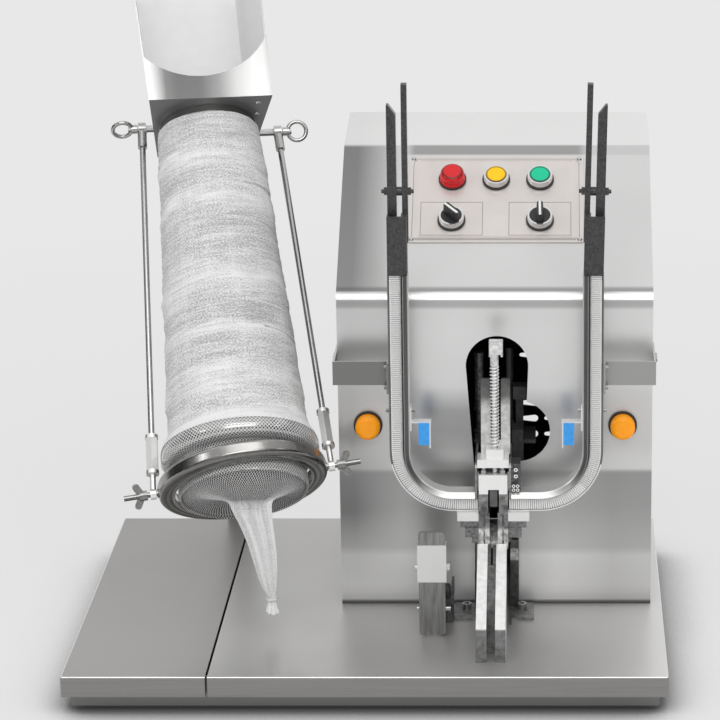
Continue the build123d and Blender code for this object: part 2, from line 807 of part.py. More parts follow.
# Clip sensors: a block in a bent sheet bracket on each rail watches for the last clips.
with BuildPart() as clip_sensors:
    for side in (-1, 1):
        inner_x = rail_mid_x + side * (rail_dx + rail_w / 2 - rail_height)
        near_x = inner_x - side * sensor_off
        far_x = near_x - side * sensor_w
        top_z = deck_z + sensor_low_h + sensor_h
        sensor_y = rail_front + 3
        slab(inner_x, inner_x - side * sensor_plate_t, sensor_y, sensor_y + sensor_d, top_z - 8, top_z + 18)
        slab(inner_x, far_x - side * 2, sensor_y + 2, sensor_y + sensor_d, top_z, top_z + 1.5)
        slab(
            far_x,
            far_x - side * 1.5,
            sensor_y + 2,
            sensor_y + sensor_d,
            deck_z + sensor_low_h - 4,
            top_z + 1.5,
        )
        slab(near_x, far_x, sensor_y, sensor_y + sensor_d, top_z - sensor_h, top_z)
clip_sensors.part.label = "clip_sensors"
export_step(clip_sensors.part, "parts/clip_sensors.step")

# Head side plates: two stainless cheeks that run into the housing. They are cut away in front for the
# rails and the jaw. A strip with a bolted foot carries each.
notch_back = housing_front - 4
notch_top = jaw_low_h
rail_cut_h = rail_low_h + rail_height - rail_inner_t + 0.3
rail_cut_back = rail_front + rail_depth + 0.4
with BuildPart() as head_plates:
    for side in (-1, 1):
        inner_x = head_x + side * side_plate_in
        outer_x = inner_x + side * side_plate_t
        plate_back = head_front + plate_reach
        slab(inner_x, outer_x, head_front, plate_back, deck_z, deck_z + head_top_h)
        slab(inner_x, outer_x, head_front - 1, notch_back, deck_z + foot_t, deck_z + notch_top, Mode.SUBTRACT)
        slab(inner_x, outer_x, head_front - 1, rail_cut_back, deck_z + notch_top - 9, deck_z + rail_cut_h, Mode.SUBTRACT)
        slab(inner_x, outer_x + side * 2.5, foot_front, plate_back, deck_z, deck_z + foot_t)
        slab(
            outer_x,
            outer_x + side * foot_w,
            foot_front,
            foot_front + foot_d,
            deck_z,
            deck_z + foot_t,
        )
        with Locations((head_x + side * foot_bolt_dx, foot_bolt_y, deck_z + foot_t / 2)):
            Cylinder(3.2, foot_t + 2, mode=Mode.SUBTRACT)
    fillet(head_plates.edges().filter_by(Axis.X).group_by(Axis.Z)[-1], radius=6)
head_plates.part.label = "head_plates"
export_step(head_plates.part, "parts/head_plates.step")

# Socket-head bolts in the feet, and two hexagon bolts between crossbar and yoke.
with BuildPart() as head_bolts:
    for side in (-1, 1):
        bolt_x = head_x + side * foot_bolt_dx
        bolt_z = deck_z + foot_t
        bar((bolt_x, foot_bolt_y, deck_z), (bolt_x, foot_bolt_y, bolt_z), 3.2)
        bar((bolt_x, foot_bolt_y, bolt_z), (bolt_x, foot_bolt_y, bolt_z + 6), 5)
        hex_bar((bolt_x, foot_bolt_y, bolt_z + 3), (bolt_x, foot_bolt_y, bolt_z + 7), 5, Mode.SUBTRACT)
        yoke_x = head_x + side * 10
        yoke_y = head_front + 8
        nut_top = deck_z + yoke_top_h + 4
        hex_bar((yoke_x, yoke_y, deck_z + yoke_top_h), (yoke_x, yoke_y, nut_top), 8)
        bar((yoke_x, yoke_y, nut_top), (yoke_x, yoke_y, deck_z + crossbar_low_h), 3)
head_bolts.part.label = "head_bolts"
export_step(head_bolts.part, "parts/head_bolts.step")

# Upper head: the crossbar under the spring and the notched yoke that stands on the jaw, bored for the
# ram rod.
cheek_gap_half = side_plate_in - 0.2
bore_r = ram_rod_r + fit_gap
crossbar_low = deck_z + crossbar_low_h
crossbar_high = deck_z + crossbar_high_h
yoke_low = deck_z + jaw_top_h
yoke_high = deck_z + yoke_top_h
with BuildPart() as head_yoke:
    slab(head_x - cheek_gap_half, head_x + cheek_gap_half, head_front, head_front + 24, crossbar_low, crossbar_high)
    slab(ram_x - 9, ram_x + 9, head_front + 3, head_front + 20, crossbar_high, deck_z + spring_low_h)
    bar((ram_x, ram_y, crossbar_low - 1), (ram_x, ram_y, deck_z + spring_low_h + 1), bore_r, Mode.SUBTRACT)
    slab(head_x - yoke_front_half, head_x + yoke_front_half, head_front, head_front + 26, yoke_low, yoke_high)
    slab(head_x - cheek_gap_half, head_x + cheek_gap_half, head_front + 12, head_front + 26, yoke_low, yoke_high)
    notch_half = mouth_w / 2
    notch_high = yoke_low + 4.7
    slab(
        throat_x - notch_half,
        throat_x + notch_half,
        head_front - 1,
        head_front + 20,
        yoke_low - 1,
        notch_high,
        Mode.SUBTRACT,
    )
    bar((ram_x, ram_y, yoke_low - 1), (ram_x, ram_y, yoke_high + 1), bore_r, Mode.SUBTRACT)
head_yoke.part.label = "head_yoke"
export_step(head_yoke.part, "parts/head_yoke.step")

# Slotted guide plate behind the ram spring.
guide_front = head_front + 20
with BuildPart() as ram_guide:
    guide_left = machine_x - 14
    guide_right = machine_x + 16
    guide_back = guide_front + 3
    guide_high = deck_z + guide_high_h
    slot_low = deck_z + guide_slot_low_h
    slab(guide_left, guide_right, guide_front, guide_back, crossbar_high, guide_high)
    slab(machine_x - 4, machine_x + 6.5, guide_front - 1, guide_back + 1, slot_low, guide_high + 1, Mode.SUBTRACT)
    slab(guide_left, guide_right, guide_back, guide_back + 19, crossbar_high, crossbar_high + 3)
    fillet(ram_guide.edges().filter_by(Axis.Y).group_by(Axis.Z)[-1], radius=2)
ram_guide.part.label = "ram_guide"
export_step(ram_guide.part, "parts/ram_guide.step")

# The ram: rod with collar, crosshead nut on top and folding punch below, all moving together.
with BuildPart() as clip_ram:
    punch_high = yoke_low + 3.7
    nut_x = ram_x + ram_nut_shift
    nut_low = deck_z + ram_nut_low_h
    half = ram_nut_w / 2
    bar((ram_x, ram_y, punch_high - 2), (ram_x, ram_y, nut_low + 2), ram_rod_r)
    bar((ram_x, ram_y, deck_z + spring_high_h), (ram_x, ram_y, nut_low), 4.2)
    slab(nut_x - half, nut_x + half, ram_y - half, ram_y + half, nut_low, nut_low + ram_nut_h)
    nut_edges = clip_ram.edges().filter_by(Axis.Z).filter_by(lambda edge: abs(edge.length - ram_nut_h) < 0.01)
    chamfer(nut_edges, length=1)
    for side in (-1, 1):
        slab(
            nut_x + side * half,
            nut_x + side * (half - 2.2),
            ram_y - half + 1,
            ram_y + half - 1,
            nut_low - 2.5,
            nut_low,
        )
    punch_low = deck_z + punch_low_h
    slab(throat_x - punch_w / 2, throat_x + punch_w / 2, ram_y - 8, ram_y + 9, punch_low, punch_high)
    chamfer(clip_ram.edges().filter_by(Axis.X).group_by(Axis.Z)[0], length=1.5)
clip_ram.part.label = "clip_ram"
export_step(clip_ram.part, "parts/clip_ram.step")

# Return spring round the rod, between the crossbar's boss and the collar.
spring_len = spring_high_h - spring_low_h - 2 * spring_wire_r
with BuildPart() as ram_spring:
    with BuildLine() as coil:
        Helix(
            pitch=spring_len / spring_turns,
            height=spring_len,
            radius=spring_r,
            center=(ram_x, ram_y, deck_z + spring_low_h + spring_wire_r),
        )
    with BuildSketch(coil.line ^ 0):
        RegularPolygon(spring_wire_r, 6)
    sweep(path=coil.wires()[0], is_frenet=True)
ram_spring.part.label = "ram_spring"
export_step(ram_spring.part, "parts/ram_spring.step")

# Jaw block: a slotted jaw on each side of the throat, wider at its mouth, with a flange behind that joins
# the cheeks. The ramped and grooved die at the bottom closes the clip.
jaw_low = deck_z + jaw_low_h
with BuildPart() as jaw_block:
    for side in (-1, 1):
        in_x = throat_x + side * throat_w / 2
        upper_in_x = throat_x + side * mouth_w / 2
        out_x = head_x + side * jaw_half
        slab(in_x, out_x, head_front, head_front + 24, jaw_low, deck_z + mouth_h)
        slab(upper_in_x, out_x, head_front, head_front + 24, deck_z + mouth_h, deck_z + jaw_top_h)
        slab(
            out_x - side * 6,
            head_x + side * side_plate_in,
            rail_front + rail_depth,
            head_front + 30,
            jaw_low,
            deck_z + jaw_top_h,
        )
        slab(
            in_x + side * 4.6,
            in_x + side * 6.3,
            head_front - 1,
            head_front + 5,
            jaw_low - 1,
            deck_z + mouth_h - 1.5,
            Mode.SUBTRACT,
        )
        slab(
            out_x - side * 4.2,
            out_x + side,
            head_front - 1,
            head_front + 1.5,
            deck_z + die_back_h + 1,
            deck_z + mouth_h - 1.5,
            Mode.SUBTRACT,
        )
    with BuildSketch(Plane.YZ.offset(throat_x - throat_w / 2)):
        with BuildLine():
            Polyline(
                (head_front + 2, jaw_low),
                (head_front + 2, deck_z + die_front_h),
                (head_front + 22, deck_z + die_back_h),
                (head_front + 22, jaw_low),
                close=True,
            )
        make_face()
    extrude(amount=throat_w)
    for side in (-1, 1):
        groove_x = throat_x + side * 2.1
        groove_front = (groove_x, head_front + 1, deck_z + die_front_h - 0.2)
        groove_back = (groove_x, head_front + 23, deck_z + die_back_h + 1.2)
        bar(groove_front, groove_back, 1.7, Mode.SUBTRACT)
jaw_block.part.label = "jaw_block"
export_step(jaw_block.part, "parts/jaw_block.step")

# Steel blocks under the ends of the rails, on small dark packers. A pin with a latch stands on the left.
with BuildPart() as rail_supports:
    for side in (-1, 1):
        near_x = head_x + side * jaw_half
        support_low = deck_z + rail_low_h - 9.8
        packer_low = support_low - 7.3
        block_low = packer_low - 10.2
        slab(near_x, near_x + side * 22, rail_front - 1, rail_front + 18, support_low, deck_z + rail_low_h)
        slab(near_x, near_x + side * 19, rail_front + 1, rail_front + 14, packer_low, support_low)
        slab(near_x, near_x + side * 14, rail_front - 1, rail_front + 16, block_low, packer_low)
    latch_x = head_x - jaw_half - 3.6
    slab(latch_x - 3.6, latch_x + 3.6, rail_front - 2, rail_front + 9, block_low - 5.4, block_low)
    pin_x = latch_x + 1.6
    bar((pin_x, rail_front + 7, deck_z + foot_t), (pin_x, rail_front + 7, block_low - 5), 1.1)
rail_supports.part.label = "rail_supports"
export_step(rail_supports.part, "parts/rail_supports.step")

# Guide arms: two wedge-shaped bars that lead the neck of the bag back into the throat.
with BuildPart() as guide_arms:
    for side in (-1, 1):
        in_x = arms_x + side * arm_in
        out_x = in_x + side * arm_w
        with BuildSketch(Plane.YZ.offset(min(in_x, out_x))):
            with BuildLine():
                Polyline(
                    (arm_front, deck_z),
                    (arm_front, deck_z + arm_front_h),
                    (arm_back, deck_z + arm_back_h),
                    (arm_back, deck_z + 40),
                    (arm_back - 22, deck_z),
                    close=True,
                )
            make_face()
        extrude(amount=arm_w)
    chamfer(guide_arms.edges().filter_by(Axis.X).group_by(Axis.Y)[0].group_by(Axis.Z)[-1], length=0.8)
guide_arms.part.label = "guide_arms"
export_step(guide_arms.part, "parts/guide_arms.step")

# Between the arms: the dark knife box and two bright gate strips above it.
arm_slope = (arm_back_h - arm_front_h) / (arm_back - arm_front)
knife_gap = 0.3


def arm_top(y, drop):
    """The height of a line a little below the top of the arms."""
    return deck_z + arm_front_h + (y - arm_front) * arm_slope - drop


with BuildPart() as knife_box:
    knife_front = arm_back - 78
    knife_back = arm_back - 24
    with BuildSketch(Plane.YZ.offset(arms_x - arm_in + knife_gap)):
        with BuildLine():
            Polyline(
                (knife_front, deck_z),
                (knife_front, arm_top(knife_front, 2)),
                (knife_back, arm_top(knife_back, 2)),
                (knife_back, deck_z),
                close=True,
            )
        make_face()
    extrude(amount=2 * (arm_in - knife_gap))
    strip_back = arm_back - 1
    for side in (-1, 1):
        strip_in = arms_x + side
        strip_out = arms_x + side * (arm_in - knife_gap)
        with BuildSketch(Plane.YZ.offset(min(strip_in, strip_out))):
            with BuildLine():
                Polyline(
                    (knife_back + 0.5, deck_z + 44),
                    (knife_back + 0.5, arm_top(knife_back, 0.5)),
                    (strip_back, arm_top(strip_back, 0.5)),
                    (strip_back, deck_z + 44),
                    close=True,
                )
            make_face()
        extrude(amount=abs(strip_out - strip_in))
knife_box.part.label = "knife_box"
export_step(knife_box.part, "parts/knife_box.step")

# Air manifold on the right cheek, with push-in fittings: two above and four small ones below.
manifold_x = head_x + side_plate_in + side_plate_t
with BuildPart() as air_manifold:
    manifold_high = deck_z + head_top_h - 0.4
    slab(manifold_x, manifold_x + 9.4, head_front + 3, head_front + 25, yoke_low + 2, manifold_high)
    fittings = [(4.8, 12.4, 2.1), (4.8, 5.4, 2.1)]
    for across in (2.5, 6.7):
        for drop in (27.2, 23):
            fittings.append((across, drop, 1.8))
    for across, drop, fitting_r in fittings:
        fitting_z = manifold_high - drop
        fitting_x = manifold_x + across
        bar((fitting_x, head_front + 3, fitting_z), (fitting_x, head_front, fitting_z), fitting_r)
        bar((fitting_x, head_front + 2, fitting_z), (fitting_x, head_front - 1, fitting_z), 0.9, Mode.SUBTRACT)
air_manifold.part.label = "air_manifold"
export_step(air_manifold.part, "parts/air_manifold.step")

# Small square air cylinder beside the guide arms that works the gate, with a framed window near its top.
gate_x = machine_x + 19.6
gate_y = housing_front - 11.5
with BuildPart() as gate_cylinder:
    slab(gate_x - 4.2, gate_x + 4.2, gate_y - 4.5, gate_y + 4.5, deck_z + foot_t, deck_z + 62)
    slab(gate_x - 4, gate_x + 4, gate_y - 4.3, gate_y + 4.3, deck_z + 62, deck_z + 72)
    slab(gate_x - 2.4, gate_x + 2.4, gate_y - 5, gate_y - 2.8, deck_z + 64, deck_z + 70, Mode.SUBTRACT)
    slab(gate_x - 3.6, gate_x + 4.2, gate_y - 4.5, gate_y + 4.5, deck_z + 72, deck_z + 77)
gate_cylinder.part.label = "gate_cylinder"
export_step(gate_cylinder.part, "parts/gate_cylinder.step")

# Inside the housing a bridge lies across the cheeks, with a down-turned flange. It carries the valve
# block, a terminal box on its stem and a guide tube.
bridge_y = housing_front + 8
bridge_low = deck_z + head_top_h
bridge_top = bridge_low + 4
with BuildPart() as valve_bridge:
    slab(machine_x - 22, machine_x + 42, bridge_y, bridge_y + 46, bridge_low, bridge_top)
    slab(manifold_x, manifold_x + 10, bridge_y, bridge_y + 3, deck_z + 150, bridge_low)
    with Locations((machine_x - 17.5, bridge_y + 26, bridge_low + 2)):
        Cylinder(3, 8, mode=Mode.SUBTRACT)
    slab(manifold_x, manifold_x + 12, bridge_y - 4.5, bridge_y + 20, bridge_top - 23, bridge_top + 12)
    slab(machine_x + 21, machine_x + 29, bridge_y + 22, bridge_y + 28, bridge_top, bridge_top + 41)
    slab(machine_x + 18.2, machine_x + 31.8, bridge_y + 12, bridge_y + 30, bridge_top + 40.4, bridge_top + 54)
    bar((machine_x + 14.6, bridge_y + 30, bridge_top), (machine_x + 14.6, bridge_y + 30, bridge_top + 92), 3.7)
    slab(machine_x + 13, machine_x + 19, bridge_y + 27, bridge_y + 33, bridge_top, bridge_top + 12)
valve_bridge.part.label = "valve_bridge"
export_step(valve_bridge.part, "parts/valve_bridge.step")

# The drive cylinder stands on the bridge, with its rod through it.
with BuildPart() as drive_cylinder:
    drive_x = machine_x - 17.5
    drive_y = bridge_y + 26
    bar((drive_x, drive_y, bridge_low), (drive_x, drive_y, bridge_top + 24), 3)
    bar((drive_x, drive_y, bridge_top), (drive_x, drive_y, bridge_top + 3), 5)
    bar((drive_x, drive_y, bridge_top + 24), (drive_x, drive_y, bridge_top + 28), 5)
    bar((drive_x, drive_y, bridge_top + 28), (drive_x, drive_y, bridge_top + 84), 4.4)
    bar((drive_x, drive_y, bridge_top + 84), (drive_x, drive_y, bridge_top + 88), 5)
drive_cylinder.part.label = "drive_cylinder"
export_step(drive_cylinder.part, "parts/drive_cylinder.step")

# The paddle: a folded channel that swings on a pin low down when the bag's neck is pushed in.
paddle_half = paddle_w / 2
with BuildPart() as trigger_paddle:
    with BuildSketch(facing(paddle_front)):
        with Locations((paddle_x, deck_z + (paddle_low_h + paddle_high_h) / 2)):
            RectangleRounded(paddle_w, paddle_high_h - paddle_low_h, 3)
    extrude(amount=-paddle_t)
    for side in (-1, 1):
        out_x = paddle_x + side * paddle_half
        slab(
            out_x,
            out_x - side * paddle_t,
            paddle_front + paddle_t,
            paddle_front + paddle_t + paddle_flange,
            deck_z + 14,
            deck_z + sleeve_high_h,
        )
    for pin_h in (hinge_h, cross_pin_h):
        pin_y = paddle_front + paddle_t + paddle_flange / 2
        pin_z = deck_z + pin_h
        pin_hole = hinge_r + running_gap if pin_h == hinge_h else hinge_r
        bar(
            (paddle_x - paddle_half - 1, pin_y, pin_z),
            (paddle_x + paddle_half + 1, pin_y, pin_z),
            pin_hole,
            Mode.SUBTRACT,
        )
trigger_paddle.part.label = "trigger_paddle"
export_step(trigger_paddle.part, "parts/trigger_paddle.step")

# A bright saddle wraps the paddle's upper half and is held by a cross pin.
sleeve_half = paddle_half + sleeve_t
with BuildPart() as paddle_sleeve:
    slab(
        paddle_x - sleeve_half,
        paddle_x + sleeve_half,
        paddle_front - sleeve_t,
        paddle_front + paddle_t + paddle_flange,
        deck_z + sleeve_low_h,
        deck_z + sleeve_high_h,
    )
    slab(
        paddle_x - paddle_half,
        paddle_x + paddle_half,
        paddle_front,
        paddle_front + paddle_t + paddle_flange + 1,
        deck_z + sleeve_low_h - 1,
        deck_z + sleeve_high_h + 1,
        Mode.SUBTRACT,
    )
    bar(
        (paddle_x - sleeve_half - 2.5, pin_y, deck_z + cross_pin_h),
        (paddle_x + sleeve_half + 3, pin_y, deck_z + cross_pin_h),
        hinge_r,
    )
    hex_bar(
        (paddle_x + sleeve_half, pin_y, deck_z + cross_pin_h),
        (paddle_x + sleeve_half + 3.2, pin_y, deck_z + cross_pin_h),
        7,
    )
paddle_sleeve.part.label = "paddle_sleeve"
export_step(paddle_sleeve.part, "parts/paddle_sleeve.step")

# The bracket on the deck stands between the paddle's flanges and holds the hinge pin.
ear_half = paddle_half - paddle_t - 0.5
with BuildPart() as paddle_bracket:
    ear_back = paddle_front + paddle_t + paddle_flange + 14
    slab(
        paddle_x - ear_half,
        paddle_x + ear_half,
        pin_y + 12,
        ear_back + 12,
        deck_z,
        deck_z + 3,
    )
    for side in (-1, 1):
        with BuildSketch(Plane.YZ.offset(paddle_x + side * (ear_half - 1.5) - 1.5)):
            with BuildLine():
                Polyline(
                    (pin_y, deck_z + hinge_h - 5),
                    (pin_y + 14, deck_z),
                    (ear_back, deck_z),
                    (pin_y + 4, deck_z + hinge_h + 3),
                    (pin_y, deck_z + hinge_h + 5),
                    close=True,
                )
            make_face()
            with Locations((pin_y, deck_z + hinge_h)):
                Circle(5)
        extrude(amount=3)
    bar(
        (paddle_x - paddle_half - 2.5, pin_y, deck_z + hinge_h),
        (paddle_x + paddle_half + 5, pin_y, deck_z + hinge_h),
        hinge_r,
    )
paddle_bracket.part.label = "paddle_bracket"
export_step(paddle_bracket.part, "parts/paddle_bracket.step")

# The trigger valve behind the paddle, and the black roller on its arm.
valve_x = paddle_x + paddle_half
valve_y = paddle_front + 40
roller_h = 40
roller_r = 8
roller_y = paddle_front + 27
with BuildPart() as trigger_valve:
    slab(valve_x - 6, valve_x + 7, valve_y, valve_y + 22, deck_z, deck_z + 32)
    slab(valve_x + 5.1, valve_x + 7.6, roller_y - 4, valve_y + 20, deck_z + 28, deck_z + roller_h + 4)
    bar((valve_x + 6, roller_y, deck_z + roller_h), (valve_x - 5.9, roller_y, deck_z + roller_h), 2)
trigger_valve.part.label = "trigger_valve"
export_step(trigger_valve.part, "parts/trigger_valve.step")

with BuildPart() as valve_roller:
    bar((valve_x + 4.3, roller_y, deck_z + roller_h), (valve_x - 5.5, roller_y, deck_z + roller_h), roller_r)
    fillet(valve_roller.edges().filter_by(GeomType.CIRCLE), radius=2)
    bar(
        (valve_x + 5, roller_y, deck_z + roller_h),
        (valve_x - 7, roller_y, deck_z + roller_h),
        2 + running_gap,
        Mode.SUBTRACT,
    )
valve_roller.part.label = "valve_roller"
export_step(valve_roller.part, "parts/valve_roller.step")

# The netting tube's frame.
rise = radians(tube_rise)
yaw = radians(tube_yaw)
tube_dir = Vector(-cos(rise) * sin(yaw), cos(rise) * cos(yaw), sin(rise))
tube_frame = Plane(origin=(mouth_x, mouth_y, mouth_z), x_dir=(cos(yaw), sin(yaw), 0), z_dir=tube_dir)


def tube_radius(z):
    """The outer radius of the netting tube's slight taper."""
    return tube_low_r + (tube_top_r - tube_low_r) * (z - tube_low_z) / (tube_len - tube_low_z)


def side_view(frame):
    """The plane through a frame's axis, radius to the right and length up."""
    return Plane(origin=frame.origin, x_dir=frame.x_dir, z_dir=-frame.y_dir)


# The netting tube is rolled sheet with a slight taper, and ends in a straight lip at its mouth.
with BuildPart() as net_tube:
    with BuildSketch(side_view(tube_frame)):
        with BuildLine():
            Polyline(
                (lip_r, lip_z),
                (lip_r, collar_low_z),
                (tube_low_r, tube_low_z),
                (tube_top_r, tube_len),
                (tube_top_r - tube_t, tube_len),
                (tube_low_r - tube_t, tube_low_z),
                (lip_r - tube_t, collar_low_z),
                (lip_r - tube_t, lip_z),
                close=True,
            )
        make_face()
    revolve(axis=Axis(tube_frame.origin, tube_frame.z_dir))
net_tube.part.label = "net_tube"
export_step(net_tube.part, "parts/net_tube.step")

# The polished collar swells round the tube above the brake ring.
with BuildPart() as tube_collar:
    with BuildSketch(side_view(tube_frame)):
        with BuildLine():
            collar_top = (tube_radius(tube_low_z) + 0.1, tube_low_z)
            Line((lip_r, collar_low_z), (collar_r - 6, collar_low_z))
            ThreePointArc((collar_r - 6, collar_low_z), (collar_r - 0.6, collar_z - 6), (collar_r - 0.4, collar_z))
            ThreePointArc((collar_r - 0.4, collar_z), (collar_r - 5, collar_z + 12), collar_top)
            Line(collar_top, (lip_r, collar_low_z))
        make_face()
    revolve(axis=Axis(tube_frame.origin, tube_frame.z_dir))
tube_collar.part.label = "tube_collar"
export_step(tube_collar.part, "parts/tube_collar.step")

# The brake ring hangs round the lip, slightly out of square with the tube. Threaded screws stand out of its flanks.
ring_frame = Plane(tube_frame.location * Location((0, 0, ring_mid_z), (0, -ring_tilt, lug_turn)))
with BuildPart() as brake_ring:
    with BuildSketch(side_view(ring_frame)):
        with Locations(((ring_in_r + ring_out_r) / 2, 0)):
            RectangleRounded(ring_out_r - ring_in_r, ring_h, 5)
        with Locations(((ring_in_r + 1.5), -ring_h / 2 + 1)):
            Circle(2)
    revolve(axis=Axis(ring_frame.origin, ring_frame.z_dir))
    for side in (-1, 1):
        start = ring_frame.from_local_coords((side * (ring_out_r - 2), 0, 0))
        end = ring_frame.from_local_coords((side * (lug_r + 30), 0, 0))
        shoulder = ring_frame.from_local_coords((side * (ring_out_r + 1), 0, 0))
        bar(tuple(start), tuple(end), screw_r)
        bar(tuple(start), tuple(shoulder), 4.5)
brake_ring.part.label = "brake_ring"
export_step(brake_ring.part, "parts/brake_ring.step")

# The rods' frames start at the lugs, with Z up the rod and X outwards.
rod_frames = {}
rod_lens = {}
for side_name, side in (("left", -1), ("right", 1)):
    top_r, top_y, top_z = rod_tops[side_name]
    rod_foot = ring_frame.from_local_coords((side * lug_r, 0, 0))
    rod_head = tube_frame.from_local_coords((side * top_r, top_y, top_z))
    rod_along = Vector(rod_head) - Vector(rod_foot)
    rod_frames[side_name] = Plane(origin=rod_foot, x_dir=ring_frame.x_dir * side, z_dir=rod_along)
    rod_lens[side_name] = rod_along.length

# Hexagonal sleeves hold the brake springs and slide on the rods. Each has a stud that ends in an eye on the ring's screw.
with BuildPart() as brake_sleeves:
    for side_name, side in (("left", -1), ("right", 1)):
        frame = rod_frames[side_name]
        low = frame.from_local_coords((0, 0, sleeve_low))
        low_collar = frame.from_local_coords((0, 0, sleeve_low + 4))
        high_collar = frame.from_local_coords((0, 0, sleeve_high - 4))
        high = frame.from_local_coords((0, 0, sleeve_high))
        floor = frame.from_local_coords((0, 0, sleeve_low + 8))
        hex_bar(tuple(low), tuple(high), sleeve_flats)
        bar(tuple(low), tuple(low_collar), 6.7)
        bar(tuple(high_collar), tuple(high), 6.7)
        bar(tuple(floor), tuple(frame.from_local_coords((0, 0, sleeve_high + 1))), sleeve_bore_r, Mode.SUBTRACT)
        eye_start = ring_frame.from_local_coords((side * (lug_r - 3), 0, 0))
        eye_end = ring_frame.from_local_coords((side * (lug_r + 3), 0, 0))
        bore_start = ring_frame.from_local_coords((side * (lug_r - 6), 0, 0))
        bore_end = ring_frame.from_local_coords((side * (lug_r + 6), 0, 0))
        bar(tuple(frame.origin), tuple(low), 3)
        bar(tuple(eye_start), tuple(eye_end), 5.5)
        bar(tuple(bore_start), tuple(bore_end), screw_r, Mode.SUBTRACT)
brake_sleeves.part.label = "brake_sleeves"
export_step(brake_sleeves.part, "parts/brake_sleeves.step")

# Long rods run from inside the sleeves up to clevises that turn on studs of the hopper.
rod_start = sleeve_low + 19
clevis_len = 24
stud_frames = {}
for side_name, side in (("left", -1), ("right", 1)):
    top_r, top_y, top_z = rod_tops[side_name]
    stud_frames[side_name] = Plane(
        origin=tube_frame.from_local_coords((0, top_y, top_z)),
        x_dir=tube_frame.y_dir,
        z_dir=tube_frame.x_dir * side,
    )
with BuildPart() as brake_rods:
    for side_name, side in (("left", -1), ("right", 1)):
        frame = rod_frames[side_name]
        stud = stud_frames[side_name]
        rod_len = rod_lens[side_name]
        top_r = rod_tops[side_name][0]
        start = frame.from_local_coords((0, 0, rod_start))
        socket_low = frame.from_local_coords((0, 0, rod_len - clevis_len))
        socket_high = frame.from_local_coords((0, 0, rod_len - 5))
        eye_start = stud.from_local_coords((0, 0, top_r - 4))
        eye_end = stud.from_local_coords((0, 0, top_r + 4))
        bar(tuple(start), tuple(socket_high), rod_r)
        bar(tuple(socket_low), tuple(socket_high), 5)
        bar(tuple(eye_start), tuple(eye_end), 7)
        bar(tuple(eye_start), tuple(eye_end), 4.1, Mode.SUBTRACT)
brake_rods.part.label = "brake_rods"
export_step(brake_rods.part, "parts/brake_rods.step")

# Eye nuts on the studs' threaded ends.
for side_name, eye_turn in (("left", 17), ("right", -66)):
    stud = stud_frames[side_name]
    top_r = rod_tops[side_name][0]
    with BuildPart() as eye_nut:
        hub_start = stud.from_local_coords((0, 0, top_r + 5.4))
        hub_end = stud.from_local_coords((0, 0, top_r + 12))
        bar(tuple(hub_start), tuple(hub_end), 5)
        eye_centre = Plane(stud.location * Location((0, 0, top_r + 11 + eye_r), (0, 0, eye_turn)))
        with Locations(Plane(origin=eye_centre.origin, x_dir=eye_centre.z_dir, z_dir=eye_centre.y_dir)):
            Torus(eye_r, eye_wire_r)
        bar(tuple(hub_start), tuple(stud.from_local_coords((0, 0, top_r + 15.5))), 3 + running_gap, Mode.SUBTRACT)
    eye_nut.part.label = f"{side_name}_eye_nut"
    export_step(eye_nut.part, f"parts/{side_name}_eye_nut.step")

# Wing nuts on the lug screws.
for side_name, side in (("left", -1), ("right", 1)):
    with BuildPart() as wing_nut:
        nut_in = ring_frame.from_local_coords((side * (lug_r + 6), 0, 0))
        nut_out = ring_frame.from_local_coords((side * (lug_r + 14), 0, 0))
        bar(tuple(nut_in), tuple(nut_out), 5.2)
        for wing in (-1, 1):
            wing_plane = Plane(
                origin=ring_frame.from_local_coords((side * (lug_r + 12), 0, 0)),
                x_dir=ring_frame.x_dir * side,
                z_dir=ring_frame.z_dir * 0.8 + ring_frame.y_dir * 0.6,
            )
            with BuildSketch(wing_plane):
                with Locations(Location((3, wing * 8, 0), wing * 65)):
                    SlotOverall(14, 7)
            extrude(amount=1.2, both=True)
        bar(
            tuple(ring_frame.from_local_coords((side * (lug_r + 5), 0, 0))),
            tuple(ring_frame.from_local_coords((side * (lug_r + 20), 0, 0))),
            screw_r + running_gap,
            Mode.SUBTRACT,
        )
    wing_nut.part.label = f"{side_name}_wing_nut"
    export_step(wing_nut.part, f"parts/{side_name}_wing_nut.step")

# The hopper is a folded trough behind a flat end plate. Its front wall is cut to an arc,
# and studs for the rods stand out of its sides.
hopper_end = hopper_z + hopper_len
hopper_outline = [
    (-hopper_half_w, hopper_front_y),
    (hopper_half_w, hopper_front_y),
    (hopper_floor_half_w, hopper_floor_y),
    (-hopper_floor_half_w, hopper_floor_y),
]
with BuildPart(tube_frame) as hopper:
    with BuildSketch(tube_frame.offset(hopper_z)):
        with BuildLine():
            Polyline(*hopper_outline, close=True)
        make_face()
    with BuildSketch(tube_frame.offset(hopper_end)):
        with BuildLine():
            flared = 1 + hopper_flare / hopper_half_w
            Polyline(*[(x * flared - hopper_lean, y) for x, y in hopper_outline], close=True)
        make_face()
    loft()
    far_face = hopper.faces().sort_by(Axis(tube_frame.origin, tube_frame.z_dir))[-1]
    offset(amount=-hopper_t, openings=far_face)
    with Locations((0, 0, hopper_z)):
        Cylinder(tube_top_r + 0.5, 20, mode=Mode.SUBTRACT)
    with BuildSketch(side_view(tube_frame).offset(-hopper_front_y + 3)):
        arc_z = hopper_z + arc_low + arc_r
        with Locations((arc_shift, arc_z)):
            Circle(arc_r)
        with Locations((0, (arc_z + hopper_end) / 2 + 1)):
            Rectangle(3 * hopper_half_w, hopper_end - arc_z + 2)
    extrude(amount=-7, mode=Mode.SUBTRACT)
    with Locations((hopper_half_w - 14, hopper_front_y + 15, hopper_z), (hopper_half_w - 14, -26, hopper_z)):
        Cone(2, 3, 1.6, align=(Align.CENTER, Align.CENTER, Align.MAX))
